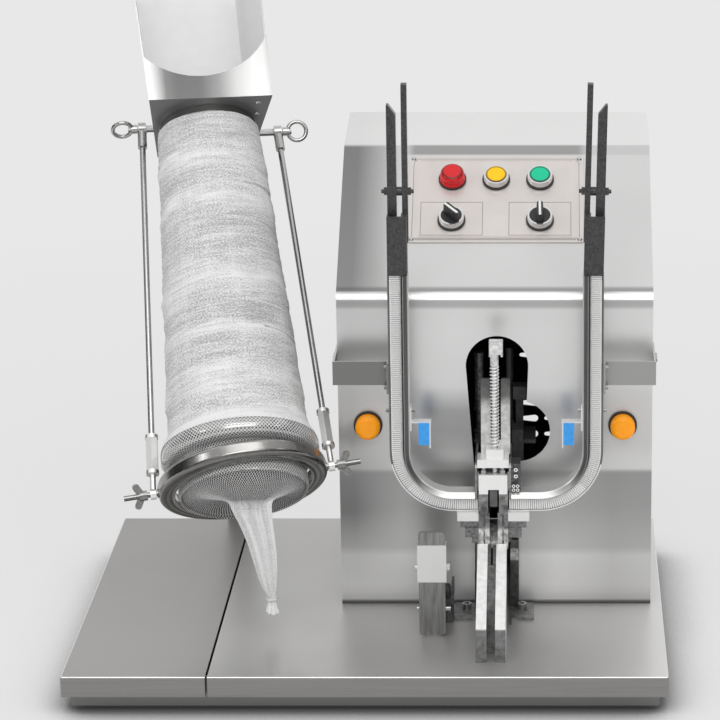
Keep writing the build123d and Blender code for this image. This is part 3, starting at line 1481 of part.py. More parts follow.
with BuildPart() as hopper_studs:
    for side_name, stud in stud_frames.items():
        top_r = rod_tops[side_name][0]
        start = stud.from_local_coords((0, 0, stud_root))
        shoulder = stud.from_local_coords((0, 0, top_r + 5))
        end = stud.from_local_coords((0, 0, top_r + 15))
        bar(tuple(start), tuple(shoulder), 4)
        bar(tuple(shoulder), tuple(end), 3)
hopper.part = hopper.part + hopper_studs.part
hopper.part.label = "hopper"
export_step(hopper.part, "parts/hopper.step")

# Netting: a stretched sleeve on the tube that turns in under the collar and over the lip.
net_out = net_gap + net_t
with BuildPart() as net_sleeve:
    with BuildSketch(side_view(tube_frame)):
        with BuildLine():
            Polyline(
                (tube_radius(net_top_z) + net_gap, net_top_z),
                (tube_radius(tube_low_z) + net_gap + 0.6, tube_low_z + 5),
                (collar_r - 4 + net_gap, collar_z + 13),
                (collar_r + net_gap, collar_z + 2),
                (collar_r + net_gap, collar_z - 7),
                (collar_r - 5 + net_gap, collar_low_z - net_gap),
                (lip_r + net_gap, collar_low_z - net_gap),
                (lip_r + net_gap, lip_z - net_gap),
                (lip_r - tube_t - net_gap, lip_z - net_gap),
                (lip_r - tube_t - net_gap, lip_z + 6),
                (lip_r - tube_t - net_out, lip_z + 6),
                (lip_r - tube_t - net_out, lip_z - net_out),
                (lip_r + net_out, lip_z - net_out),
                (lip_r + net_out, collar_low_z - net_out),
                (collar_r - 4.4 + net_gap, collar_low_z - net_out),
                (collar_r + net_out, collar_z - 7.4),
                (collar_r + net_out, collar_z + 2.5),
                (collar_r - 3 + net_out, collar_z + 14),
                (tube_radius(tube_low_z) + net_out + 0.8, tube_low_z + 7),
                (tube_radius(net_top_z) + net_out, net_top_z),
                close=True,
            )
        make_face()
    revolve(axis=Axis(tube_frame.origin, tube_frame.z_dir))
net_sleeve.part.label = "net_sleeve"
export_step(net_sleeve.part, "parts/net_sleeve.step")

# Netting: the funnel in the mouth and the gathered tail that hangs from it, closed by a clip.
funnel_r = lip_r - tube_t - net_out - 0.4
gather = (-121, base_front + 112, 184)
tail_mid = (-109.5, base_front + 110, 140)
tail_clip_at = (-100.6, base_front + 110, 82)
tail_tip = (-100, base_front + 110, 66)
with BuildPart() as net_tail:
    with BuildSketch(tube_frame.offset(lip_z - 2)):
        Circle(funnel_r)
    with BuildSketch(Plane(origin=gather, z_dir=(-0.2, 0.1, 0.97))):
        Circle(17)
    loft(ruled=True)
    with BuildSketch(Plane(origin=gather, z_dir=(-0.2, 0.1, 0.97))):
        Circle(17)
    with BuildSketch(Plane(origin=tail_mid, z_dir=(-0.15, 0.1, 0.98))):
        Circle(12)
    loft(ruled=True)
    with BuildSketch(Plane(origin=tail_mid, z_dir=(-0.15, 0.1, 0.98))):
        Circle(12)
    with BuildSketch(Plane(origin=tail_clip_at, z_dir=(-0.15, 0.05, 0.99))):
        Circle(4)
    loft(ruled=True)
    with BuildSketch(Plane(origin=tail_clip_at, z_dir=(-0.15, 0.05, 0.99))):
        Circle(4)
    with BuildSketch(Plane(origin=tail_tip, z_dir=(-0.15, 0.05, 0.99))):
        Circle(6)
    loft(ruled=True)
net_tail.part.label = "net_tail"
export_step(net_tail.part, "parts/net_tail.step")

with BuildPart() as tail_clip:
    with BuildSketch(Plane(origin=tail_clip_at, z_dir=(-0.15, 0.05, 0.99))):
        RectangleRounded(12, 11, 3)
        Circle(4.4, mode=Mode.SUBTRACT)
    extrude(amount=1.5, both=True)
tail_clip.part.label = "tail_clip"
export_step(tail_clip.part, "parts/tail_clip.step")

# A square post behind the base carries the tube. The saddle plate on top is welded to it.
floor_plane = Plane(
    origin=tube_frame.from_local_coords((0, hopper_floor_y + 4, hopper_z)),
    x_dir=tube_frame.x_dir,
    z_dir=tube_frame.y_dir,
)
with BuildPart() as support_post:
    with BuildSketch(Plane.XY.offset(post_foot_h)):
        with Locations((post_x, post_mid_y)):
            RectangleRounded(post_w, post_w, 3)
            RectangleRounded(post_w - 2 * post_t, post_w - 2 * post_t, 1.5, mode=Mode.SUBTRACT)
    extrude(amount=600)
    split(bisect_by=floor_plane, keep=Keep.TOP)
    with Locations(Plane(tube_frame.location * Location((32, hopper_floor_y + 2, hopper_z + 58)))):
        Box(56, 4, 90)
support_post.part.label = "support_post"
export_step(support_post.part, "parts/support_post.step")

# A bent strap clamps the post to the rear skirt of the deck.
strap_low = deck_z - skirt_h + 2
strap_high = deck_z - 2
with BuildPart() as post_strap:
    half = post_w / 2
    slab(post_x - half - 26, post_x + half + 26, base_back, base_back + 3, strap_low, strap_high)
    slab(post_x - half - 3, post_x + half + 3, base_back, base_back + post_w + 3, strap_low, strap_high)
    slab(
        post_x - half,
        post_x + half,
        base_back - 1,
        base_back + post_w,
        strap_low - 1,
        strap_high + 1,
        Mode.SUBTRACT,
    )
post_strap.part.label = "post_strap"
export_step(post_strap.part, "parts/post_strap.step")

# Identical button-head screws in the rear cover, the control plate and the post's strap.
cover_rows = (cover_low + cover_screw_inset, (cover_low + cover_high) / 2, cover_high - cover_screw_inset)
screw_planes = []
for screw_x in (housing_left + cover_screw_inset, housing_right - cover_screw_inset):
    for screw_z in cover_rows:
        screw_planes.append(Plane(origin=(screw_x, housing_back + cover_t, screw_z), z_dir=(0, 1, 0)))
for across in (4 - plate_w / 2, plate_w / 2 - 4):
    for up in (plate_mid + 4 - plate_l / 2, plate_mid + plate_l / 2 - 4):
        screw_planes.append(on_panel(across, up, plate_t))
for side in (-1, 1):
    screw_at = (post_x + side * (post_w / 2 + 15), base_back + 3, (strap_low + strap_high) / 2)
    screw_planes.append(Plane(origin=screw_at, z_dir=(0, 1, 0)))
with BuildPart() as button_screws:
    with Locations(*screw_planes):
        Cone(2.8, 1.8, 1.6, align=(Align.CENTER, Align.CENTER, Align.MIN))
button_screws.part.label = "button_screws"
export_step(button_screws.part, "parts/button_screws.step")
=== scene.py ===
from math import cos, exp, hypot, pi, radians, sin

import bpy
from mathutils import Matrix, Vector, noise


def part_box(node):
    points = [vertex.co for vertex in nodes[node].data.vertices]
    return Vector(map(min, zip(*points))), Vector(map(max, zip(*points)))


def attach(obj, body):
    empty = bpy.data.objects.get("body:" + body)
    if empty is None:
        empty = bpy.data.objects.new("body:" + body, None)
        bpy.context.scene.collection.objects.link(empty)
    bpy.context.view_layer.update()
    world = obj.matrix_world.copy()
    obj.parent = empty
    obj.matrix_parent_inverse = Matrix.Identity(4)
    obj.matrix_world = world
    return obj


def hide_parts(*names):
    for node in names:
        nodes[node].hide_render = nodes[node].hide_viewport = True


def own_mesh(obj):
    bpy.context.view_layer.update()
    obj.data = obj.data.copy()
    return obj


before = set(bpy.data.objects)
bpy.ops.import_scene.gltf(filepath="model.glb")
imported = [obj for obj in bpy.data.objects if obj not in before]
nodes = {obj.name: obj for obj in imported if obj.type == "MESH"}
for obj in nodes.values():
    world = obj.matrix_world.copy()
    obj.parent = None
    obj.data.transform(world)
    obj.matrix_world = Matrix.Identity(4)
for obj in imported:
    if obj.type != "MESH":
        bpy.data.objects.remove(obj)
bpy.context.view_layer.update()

# Camera: three metres in front of the machine, looking down on it by 16 degrees with a long lens.
# The machine stands left of the lens axis, so the view is shifted sideways.
bpy.ops.object.camera_add(location=(0.185, -3.071, 1.187), rotation=(radians(73.6), 0, 0))
camera = bpy.context.object
camera.name = "camera"
camera.data.lens = 150
camera.data.sensor_width = 36
camera.data.shift_x = -0.2639
camera.data.clip_end = 60
bpy.context.scene.camera = camera
bpy.context.scene.view_settings.view_transform = "Standard"

# Studio: a pale floor in a pale room. Metal sees the room lighter above and behind, and dimmer in front
# and to the sides, as round the light tent of a product photograph.
room_grey = (0.806, 0.806, 0.806, 1)
world = bpy.data.worlds.new("room")
bpy.context.scene.world = world
world.use_nodes = True
tree = world.node_tree
tree.nodes.clear()


def wire(tree, start, end):
    """Joins one socket to another."""
    tree.links.new(start, end)


def level(tree, value, from_low, from_high, to_low, to_high):
    """A value brought from one range to another, and held inside it."""
    reach = tree.nodes.new("ShaderNodeMapRange")
    reach.inputs["From Min"].default_value = from_low
    reach.inputs["From Max"].default_value = from_high
    reach.inputs["To Min"].default_value = to_low
    reach.inputs["To Max"].default_value = to_high
    wire(tree, value, reach.inputs["Value"])
    return reach.outputs["Result"]


def sum_up(tree, how, first, second):
    """Two values joined by one sum."""
    made = tree.nodes.new("ShaderNodeMath")
    made.operation = how
    for socket, value in ((made.inputs[0], first), (made.inputs[1], second)):
        if isinstance(value, (int, float)):
            socket.default_value = value
        else:
            wire(tree, value, socket)
    return made.outputs[0]


def seen_rays(tree):
    """1 for rays of the camera and rays through glass."""
    ray = tree.nodes.new("ShaderNodeLightPath")
    return sum_up(tree, "MAXIMUM", ray.outputs["Is Camera Ray"], ray.outputs["Is Transmission Ray"])


def gloss_rays(tree):
    """1 for rays that metal sends back."""
    return tree.nodes.new("ShaderNodeLightPath").outputs["Is Glossy Ray"]


def own_place(tree):
    """A place in the object's own space."""
    return tree.nodes.new("ShaderNodeTexCoord").outputs["Object"]


def arrow(tree, how, place, way=None):
    """One step of vector sums: a place joined with a fixed way."""
    made = tree.nodes.new("ShaderNodeVectorMath")
    made.operation = how
    wire(tree, place, made.inputs[0])
    if way is not None:
        made.inputs[1].default_value = way
    return made.outputs["Value" if how in ("DOT_PRODUCT", "LENGTH") else "Vector"]


def either(tree, share, one, other):
    """One shader turning into another by a share."""
    mix = tree.nodes.new("ShaderNodeMixShader")
    for socket, value in zip(mix.inputs, (share, one, other)):
        wire(tree, value, socket)
    return mix.outputs[0]


way = tree.nodes.new("ShaderNodeTexCoord")
parts = tree.nodes.new("ShaderNodeSeparateXYZ")
wire(tree, way.outputs["Generated"], parts.inputs[0])
aside, back, up = parts.outputs
behind = level(tree, back, -0.25, 0.25, 0, 1)
back_low = level(tree, up, 0.2, 0.5, 0.74, 1.2)
back_high = level(tree, up, 0.62, 1, 0, -0.35)
front_low = level(tree, up, 0.5, 0.95, 0.34, 0.9)
back_light = sum_up(tree, "ADD", back_low, back_high)
back_share = sum_up(tree, "MULTIPLY", back_light, behind)
front_share = sum_up(tree, "MULTIPLY", front_low, sum_up(tree, "SUBTRACT", 1, behind))
dim = level(tree, sum_up(tree, "ABSOLUTE", aside, 0), 0.5, 0.95, 1, 0.4)
room_light = sum_up(tree, "MULTIPLY", sum_up(tree, "ADD", back_share, front_share), dim)
plain = tree.nodes.new("ShaderNodeBackground")
plain.inputs["Color"].default_value = (1, 1, 1, 1)
plain.inputs["Strength"].default_value = 0.56
gloss = tree.nodes.new("ShaderNodeBackground")
wire(tree, room_light, gloss.inputs["Color"])
seen = tree.nodes.new("ShaderNodeBackground")
seen.inputs["Color"].default_value = room_grey
sky = tree.nodes.new("ShaderNodeOutputWorld")
room = either(tree, gloss_rays(tree), plain.outputs[0], gloss.outputs[0])
wire(tree, either(tree, seen_rays(tree), room, seen.outputs[0]), sky.inputs["Surface"])

bpy.ops.mesh.primitive_plane_add(size=40, location=(0, 0, -0.0005))
floor = bpy.context.object
floor.name = "floor"
floor_paint = bpy.data.materials.new("floor_paint")
floor_paint.use_nodes = True
tree = floor_paint.node_tree
tree.nodes.clear()
lit = tree.nodes.new("ShaderNodeBsdfDiffuse")
lit.inputs["Color"].default_value = (0.8, 0.8, 0.8, 1)
glow = tree.nodes.new("ShaderNodeEmission")
glow.inputs["Color"].default_value = room_grey
# The floor's glow is dimmed by ambient occlusion round the machine: a painted contact shadow.
shade = tree.nodes.new("ShaderNodeAmbientOcclusion")
shade.samples = 8
shade.inputs["Distance"].default_value = 0.09
wire(tree, level(tree, shade.outputs["AO"], 0.42, 0.9, 0.04, 1), glow.inputs["Strength"])
out = tree.nodes.new("ShaderNodeOutputMaterial")
whole = sum_up(tree, "MAXIMUM", seen_rays(tree), gloss_rays(tree))
far = level(tree, arrow(tree, "LENGTH", own_place(tree)), 0.5, 1.8, 0.82, 1)
share = sum_up(tree, "MULTIPLY", whole, far)
wire(tree, either(tree, share, lit.outputs[0], glow.outputs[0]), out.inputs["Surface"])
floor.data.materials.append(floor_paint)


def softbox(name, place, aim, width, height, watts):
    """A square lamp behind cloth, turned to the machine."""
    bpy.ops.object.light_add(type="AREA", location=place)
    lamp = bpy.context.object
    lamp.name = name
    lamp.data.shape = "RECTANGLE"
    lamp.data.size = width
    lamp.data.size_y = height
    lamp.data.energy = watts
    lamp.rotation_euler = (Vector(aim) - Vector(place)).to_track_quat("-Z", "Y").to_euler()


softbox("front_lamp", (0.2, -2.2, 2.1), (0, 0, 0.35), 2.2, 0.8, 20)
softbox("top_lamp", (0.1, -1.05, 2.5), (0.1, -0.1, 0.2), 1.9, 0.7, 9)
softbox("left_lamp", (-2.4, -1.2, 1.6), (0, 0, 0.3), 0.5, 1.2, 9)
softbox("right_lamp", (2.6, -0.9, 1.5), (0.1, 0, 0.3), 0.5, 1.2, 6)

# Dark cloths stand left and right of the machine. Only polished metal sees them, as its dark streaks.


def shader_of(made):
    """The shader of a material."""
    return made.node_tree.nodes["Principled BSDF"]


def finish(name, metallic=0):
    """An empty material of one shader, with its tree."""
    made = bpy.data.materials.new(name)
    made.use_nodes = True
    shader_of(made).inputs["Metallic"].default_value = metallic
    return made, made.node_tree, shader_of(made)


cloth_black, tree, shader = finish("cloth_black")
shader.inputs["Base Color"].default_value = (0.02, 0.02, 0.02, 1)
shader.inputs["Roughness"].default_value = 0.9
for side, name in ((-1, "flag_left"), (1, "flag_right")):
    bpy.ops.mesh.primitive_plane_add(size=1, location=(side * 1.2, -0.5, 0.5), rotation=(0, radians(90), 0))
    flag = bpy.context.object
    flag.name = name
    flag.scale = (0.9, 1.6, 1)
    flag.data.materials.append(cloth_black)
    flag.visible_camera = False
    flag.visible_diffuse = False
    flag.visible_shadow = False
    flag.visible_transmission = False


# Base pan and feet: a folded steel tray, a little smaller than the deck, so that it lies in its shade. Its
# steel is given a dark tone too, painted shade.
# It stands on four turned rubber feet.
def field(tree, scale, detail=3, rough=0.55, place=None):
    """Noise in the object's own space, or at another place, stretched by three scales."""
    stretch = tree.nodes.new("ShaderNodeMapping")
    stretch.inputs["Scale"].default_value = scale
    cloud = tree.nodes.new("ShaderNodeTexNoise")
    cloud.inputs["Scale"].default_value = 1
    cloud.inputs["Detail"].default_value = detail
    cloud.inputs["Roughness"].default_value = rough
    wire(tree, own_place(tree) if place is None else place, stretch.inputs["Vector"])
    wire(tree, stretch.outputs["Vector"], cloud.inputs["Vector"])
    return cloud.outputs[0]


def spread(tree, value, low, high):
    """Noise, most of which lies between 0.3 and 0.7, brought to low..high."""
    return level(tree, value, 0.3, 0.7, low, high)


def mixed(tree, how, share, first, second):
    """Two colours joined by a share. Each of the three is a socket or a fixed value."""
    mix = tree.nodes.new("ShaderNodeMix")
    mix.data_type = "RGBA"
    mix.blend_type = how
    for title, value in (("Factor", share), ("A", first), ("B", second)):
        if isinstance(value, (int, tuple)):
            mix.inputs[title].default_value = value
        else:
            wire(tree, value, mix.inputs[title])
    return mix.outputs["Result"]


def mottled(tree, shader, share, colour, contrast):
    """Lets a shader's colour waver round a middle colour."""
    dark = (*[c * (1 - contrast) for c in colour], 1)
    light = (*[min(1, c * (1 + contrast)) for c in colour], 1)
    wire(tree, mixed(tree, "MIX", spread(tree, share, 0, 1), dark, light), shader.inputs["Base Color"])


def relief(tree, shader, height, depth):
    """Raises the surface by a height from 0 to 1, depth metres at most."""
    bump = tree.nodes.new("ShaderNodeBump")
    bump.inputs["Strength"].default_value = 1
    bump.inputs["Distance"].default_value = depth
    wire(tree, height, bump.inputs["Height"])
    wire(tree, bump.outputs["Normal"], shader.inputs["Normal"])


def brushed(name, colour, rough, grain, shade=0.05, depth=0.000004, metallic=1):
    """Sheet or bar metal with fine lines along grain's smallest scale, and faint handling marks."""
    made, tree, shader = finish(name, metallic)
    lines = field(tree, grain)
    marks = field(tree, (9, 9, 9), 4)
    mottled(tree, shader, lines, colour, shade)
    slow = spread(tree, marks, rough - 0.03, rough + 0.03)
    wire(tree, sum_up(tree, "ADD", spread(tree, lines, -0.03, 0.03), slow), shader.inputs["Roughness"])
    relief(tree, shader, lines, depth)
    return made


def coated(name, colour, rough, mottle=0.06, scale=60, depth=0.00002, metallic=0):
    """Paint, plastic or rubber with a little mottling."""
    made, tree, shader = finish(name, metallic)
    grain = field(tree, (scale, scale, scale), 4)
    mottled(tree, shader, grain, colour, mottle)
    wire(tree, spread(tree, grain, rough - 0.04, rough + 0.04), shader.inputs["Roughness"])
    relief(tree, shader, grain, depth)
    return made


def dress(name, *finishes):
    """Gives a node of the frame its finishes."""
    slots = nodes[name].data.materials
    slots.clear()
    for made in finishes:
        slots.append(made)


def repaint(name, slot, wanted):
    """Moves the faces that wanted() picks, by centre and normal, to another of the node's finishes."""
    for face in nodes[name].data.polygons:
        if wanted(face.center, face.normal):
            face.material_index = slot


pan_shaded_steel = brushed("pan_shaded_steel", (0.23, 0.23, 0.226), 0.4, (20, 900, 900))
foot_rubber = coated("foot_rubber", (0.02, 0.02, 0.022), 0.7, scale=400)
dress("base_pan", pan_shaded_steel)
dress("rubber_feet", foot_rubber)

# Deck: two panels of brushed stainless sheet, folded down at their outer edges, that meet in a narrow gap.
# The grain runs from left to right. The left panel is a darker copy of the right one, and the right one darkens
# towards its left end: painted shade. The rolled upper edge is a lighter, smoother copy, a painted highlight, and
# the folded-down skirts a dark copy, painted shade.
edge_low = 0.0383
skirt_high = 0.0385
to_right, upwards = (1, 0, 0), (0, 0, 1)


def tone(tree, value, low, high, *stops):
    """A grey that follows a value between two limits, through stops of value and grey."""
    ramp = tree.nodes.new("ShaderNodeValToRGB")
    marks = ramp.color_ramp.elements
    while len(marks) < len(stops):
        marks.new(0.5)
    for mark, (at, grey) in zip(marks, stops):
        mark.position = (at - low) / (high - low)
        mark.color = (grey, grey, grey, 1)
    wire(tree, level(tree, value, low, high, 0, 1), ramp.inputs[0])
    return ramp.outputs[0]


def along(tree, way):
    """How far a place lies along a direction."""
    return arrow(tree, "DOT_PRODUCT", own_place(tree), way)


def tinted(made, shade):
    """Darkens a material's colour by a grey."""
    tree, colour = made.node_tree, shader_of(made).inputs["Base Color"]
    wire(tree, mixed(tree, "MULTIPLY", 1, colour.links[0].from_socket, shade), colour)


def shaded(made, way, low, high, *stops):
    """Tints a material along a direction."""
    tinted(made, tone(made.node_tree, along(made.node_tree, way), low, high, *stops))


deck_steel = brushed("deck_steel", (0.72, 0.712, 0.697), 0.36, (14, 700, 700), 0.03, 0.000002, 0.6)
shaded(deck_steel, to_right, -0.1, 0.4, (0, 0.67), (0.17, 0.66), (0.24, 0.84), (0.3, 1))
deck_left_shaded = brushed("deck_left_shaded", (0.34, 0.332, 0.322), 0.36, (14, 700, 700), 0.03, 0.000002, 0.6)
deck_edge_highlight = brushed("deck_edge_highlight", (0.78, 0.78, 0.77), 0.2, (14, 300, 300), 0.06)
deck_skirt_shaded = brushed("deck_skirt_shaded", (0.3, 0.295, 0.285), 0.3, (14, 500, 500), 0.06)
# Painted light and shade: the left panel and the skirts take dark copies of the sheet, the rolled edge a light
# one.
for name, top in (("deck_left", deck_left_shaded), ("deck_right", deck_steel)):
    dress(name, top, deck_edge_highlight, deck_skirt_shaded)
    repaint(name, 1, lambda place, normal: place.z > edge_low and 0.02 < normal.z < 0.98)
    repaint(name, 2, lambda place, normal: place.z < skirt_high and abs(normal.z) < 0.1)

# Post: a square tube behind the base carries the hopper and the netting tube on a welded saddle plate.
# A bent strap holds it to the rear of the deck.
post_steel = brushed("post_steel", (0.45, 0.45, 0.445), 0.34, (700, 700, 16))
dress("support_post", post_steel)
dress("post_strap", post_steel)

# Housing: one folded and welded steel shell with a sloping top, closed by a screwed cover at the back.
# Its satin sheet has painted light and shade in soft bands, in place of the room it would mirror: a painted
# contact shadow at its foot, painted reflections on the front, a painted highlight along the fold with a
# painted shadow under it, painted shadows under the sensors and above the plate, and painted shade along its
# left edge. The keyhole's cut edges are bright.


def satin(name, colour, rough, cloud=0.02, metallic=0.6):
    """Sheet metal with a fine even satin finish and soft clouds."""
    made, tree, shader = finish(name, metallic)
    clouds = field(tree, (7, 7, 5), 2)
    grain = field(tree, (900, 900, 500), 2)
    mottled(tree, shader, clouds, colour, cloud)
    fine = spread(tree, grain, -0.01, 0.01)
    slow = spread(tree, clouds, rough - 0.01, rough + 0.01)
    wire(tree, sum_up(tree, "ADD", fine, slow), shader.inputs["Roughness"])
    return made


shell_steel = satin("shell_steel", (0.97, 0.97, 0.965), 0.3)
tree = shell_steel.node_tree
height = along(tree, upwards)
sideways = along(tree, to_right)
shell_range = (0, 0.55)
painted_shade_by_height = tone(
    tree, height, *shell_range, (0.0425, 0.1), (0.0445, 0.72), (0.054, 0.92), (0.062, 1), (0.094, 1),
    (0.103, 0.76), (0.15, 0.57), (0.186, 0.53), (0.1905, 0.76), (0.23, 0.82), (0.34, 0.83), (0.3635, 0.8),
    (0.3665, 0.52), (0.373, 0.5), (0.3752, 1), (0.3795, 1), (0.381, 0.3), (0.3845, 0.38), (0.3865, 0.7),
    (0.4995, 0.7), (0.5006, 0.72),
)
low_share = tone(tree, height, *shell_range, (0.187, 1), (0.1905, 0))
painted_low_reflection = tone(
    tree, sideways, -0.05, 0.3, (-0.02, 0.87), (0.07, 0.9), (0.15, 1), (0.19, 1), (0.25, 0.7), (0.29, 0.7)
)
painted_sensor_shadow = tone(
    tree, height, *shell_range, (0.19, 0.95), (0.2, 0.9), (0.216, 0.58), (0.232, 0.48), (0.254, 0.52), (0.28, 1)
)
inner_share = tone(
    tree, sideways, 0, 0.3, (0.035, 0), (0.06, 1), (0.09, 1), (0.15, 0.8), (0.17, 0.8), (0.25, 0.3)
)
painted_edge_shade = tone(
    tree, height, *shell_range, (0.05, 1), (0.1, 0.8), (0.143, 0.42), (0.208, 0.66), (0.33, 0.85), (0.379, 0.8),
    (0.386, 0.39), (0.4995, 0.33), (0.5006, 0.93),
)
edge_share = tone(tree, sideways, -0.05, 0.05, (-0.02, 1), (0.03, 0))
painted_shadow_band = tone(tree, height, 0.45, 0.52, (0.4912, 1), (0.4928, 0.52), (0.4994, 0.54), (0.5004, 1))
band_share = tone(tree, sideways, -0.05, 0.3, (0.03, 0), (0.04, 1), (0.215, 1), (0.225, 0.25))
# Painted light and shade over the whole sheet by height, then each painted patch where its share reaches.
tinted(shell_steel, painted_shade_by_height)
for share, grey in (
    (edge_share, painted_edge_shade),
    (inner_share, painted_sensor_shadow),
    (low_share, painted_low_reflection),
    (band_share, painted_shadow_band),
):
    tinted(shell_steel, mixed(tree, "MIX", share, (1, 1, 1, 1), grey))
bend_low, bend_run, bend_fall = 0.374, 0.0064, -0.45
past = sum_up(tree, "MAXIMUM", sum_up(tree, "SUBTRACT", height, bend_low), 0)
past = sum_up(tree, "MINIMUM", past, bend_run)
bend = tree.nodes.new("ShaderNodeBump")
bend.inputs["Distance"].default_value = 1
wire(tree, sum_up(tree, "MULTIPLY", past, bend_fall), bend.inputs["Height"])
wire(tree, bend.outputs["Normal"], shader_of(shell_steel).inputs["Normal"])
cut_edge = brushed("cut_edge", (0.85, 0.85, 0.84), 0.25, (500, 500, 500))
# The inside of the shell is painted near black, as the shade inside it.
shell_inside_shade = coated("shell_inside_shade", (0.06, 0.06, 0.06), 0.6, 0.2)
dress("housing_shell", shell_steel, cut_edge, shell_inside_shade)
wall_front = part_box("housing_shell")[0][1]
wall_thick = 0.002
machine_middle = 0.128
inner_half_width = 0.1615
repaint(
    "housing_shell",
    1,
    lambda place, normal: abs(place.y - wall_front - wall_thick / 2) < 0.0009
    and abs(normal.y) < 0.3
    and place.z > 0.05,
)
repaint(
    "housing_shell",
    2,
    lambda place, normal: (normal.y > 0.9 and abs(place.y - wall_front - wall_thick) < 0.0004)
    or (abs(normal.x) > 0.9 and 0.02 < abs(abs(place.x - machine_middle) - inner_half_width) < 0.0025),
)
# The inside of the rear cover is painted near black too, as shade.
cover_inside_shade = coated("cover_inside_shade", (0.012, 0.012, 0.012), 0.7, 0.3, 80)
dress("rear_cover", shell_steel, cover_inside_shade)
repaint("rear_cover", 1, lambda place, normal: normal.y < -0.9)

# Control plate: a thin plate of pale anodised metal, screwed to the slope. A frame with cut corners, a
# double line and a field round each selector are engraved and filled with paint. Its labels are left bare.
plate_metal = coated("plate_metal", (0.7, 0.655, 0.63), 0.36, 0.03, 40, 0.000004, 0.4)
dress("control_plate", plate_metal)
screw_steel = brushed("screw_steel", (0.6, 0.6, 0.6), 0.25, (500, 500, 500))
dress("button_screws", screw_steel)
line_paint = coated("line_paint", (0.16, 0.15, 0.15), 0.5, 0.2, 300, 0.000002)
slope = radians(35.392)
slope_up = Vector((0, cos(slope), sin(slope)))
slope_out = Vector((0, -sin(slope), cos(slope)))
fold = Vector((machine_middle, -0.0885, 0.381))
plate_face = 0.00151


def on_slope(across, up, out):
    """A place on the housing's slope: sideways from the middle, up from the fold and out of the sheet."""
    return fold + Vector((across, 0, 0)) + slope_up * up + slope_out * out


def pick(*pieces):
    """Selects these pieces alone."""
    bpy.ops.object.select_all(action="DESELECT")
    for piece in pieces:
        piece.select_set(True)
    bpy.context.view_layer.objects.active = pieces[0]


def rest(piece):
    """Puts the piece's place into its mesh."""
    pick(piece)
    bpy.ops.object.transform_apply(location=True, rotation=True, scale=True)


def engraved(name, across, up, width, height, line, cut):
    """A closed line of paint on the plate, with its upper corners cut off."""
    bpy.ops.mesh.primitive_plane_add(size=1, location=on_slope(across, up, plate_face), rotation=(slope, 0, 0))
    frame_line = bpy.context.object
    frame_line.name = name
    frame_line.scale = (width, height, 1)
    rest(frame_line)
    middle = on_slope(across, up, 0)
    for corner in frame_line.data.vertices:
        corner.select = (corner.co - middle).dot(slope_up) > 0
    for bounds in (frame_line.data.edges, frame_line.data.polygons):
        bounds.foreach_set("select", [False] * len(bounds))
    bpy.ops.object.mode_set(mode="EDIT")
    bpy.context.tool_settings.mesh_select_mode = (True, False, False)
    if cut:
        bpy.ops.mesh.bevel(offset=cut, affect="VERTICES")
    bpy.ops.mesh.select_all(action="SELECT")
    bpy.ops.mesh.inset(thickness=line, depth=0)
    bpy.context.tool_settings.mesh_select_mode = (False, False, True)
    bpy.ops.mesh.delete(type="FACE")
    bpy.ops.object.mode_set(mode="OBJECT")
    wall = frame_line.modifiers.new("depth", "SOLIDIFY")
    wall.thickness = 0.00008
    wall.offset = 1
    bpy.ops.object.modifier_apply(modifier="depth")
    frame_line.data.materials.append(line_paint)
    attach(frame_line, "machine")


engraved("plate_frame", 0, 0.1285, 0.176, 0.1115, 0.0005, 0.005)
engraved("plate_line", 0, 0.0712, 0.168, 0.0014, 0.0004, 0)
for side, name in ((-1, "left_field"), (1, "right_field")):
    engraved(name, side * 0.0464, 0.1, 0.0655, 0.046, 0.0005, 0)

# Buttons, lamp and selectors: chromed bezels on black seats, with coloured caps that have a dark rim, and
# black levers with a white line along the top. Their switch blocks hang inside the housing.
bezel_chrome = brushed("bezel_chrome", (0.8, 0.8, 0.8), 0.12, (300, 300, 300), 0.02)
seat_black = coated("seat_black", (0.03, 0.03, 0.03), 0.5)
yellow_cap = coated("yellow_cap", (1, 0.55, 0), 0.45, 0.02)
green_cap = coated("green_cap", (0, 0.52, 0.28), 0.45, 0.02)
red_lens = coated("red_lens", (0.72, 0.01, 0.015), 0.15, 0.03)
lever_black = coated("lever_black", (0.02, 0.02, 0.022), 0.4)
block_grey = coated("block_grey", (0.12, 0.12, 0.13), 0.5)
seat_top = 0.0042
lever_top = 0.0175


def out_of_slope(place):
    """How far a place stands out of the housing's slope."""
    return (place - fold).dot(slope_out)


def off_line(tree, start, way):
    """How far a place lies from a line."""
    away = arrow(tree, "SUBTRACT", own_place(tree), start)
    return arrow(tree, "LENGTH", arrow(tree, "CROSS_PRODUCT", away, way))


def middle_of(name):
    """The middle of a node's box."""
    low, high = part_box(name)
    return (Vector(low) + Vector(high)) / 2


for cap, name in ((yellow_cap, "reset_button"), (green_cap, "power_button"), (red_lens, "red_lamp")):
    tree = cap.node_tree
    from_middle = off_line(tree, middle_of(name), slope_out)
    tinted(cap, tone(tree, from_middle, 0, 0.02, (0.0088, 1), (0.0094, 0.3), (0.0112, 0.35), (0.0118, 1)))

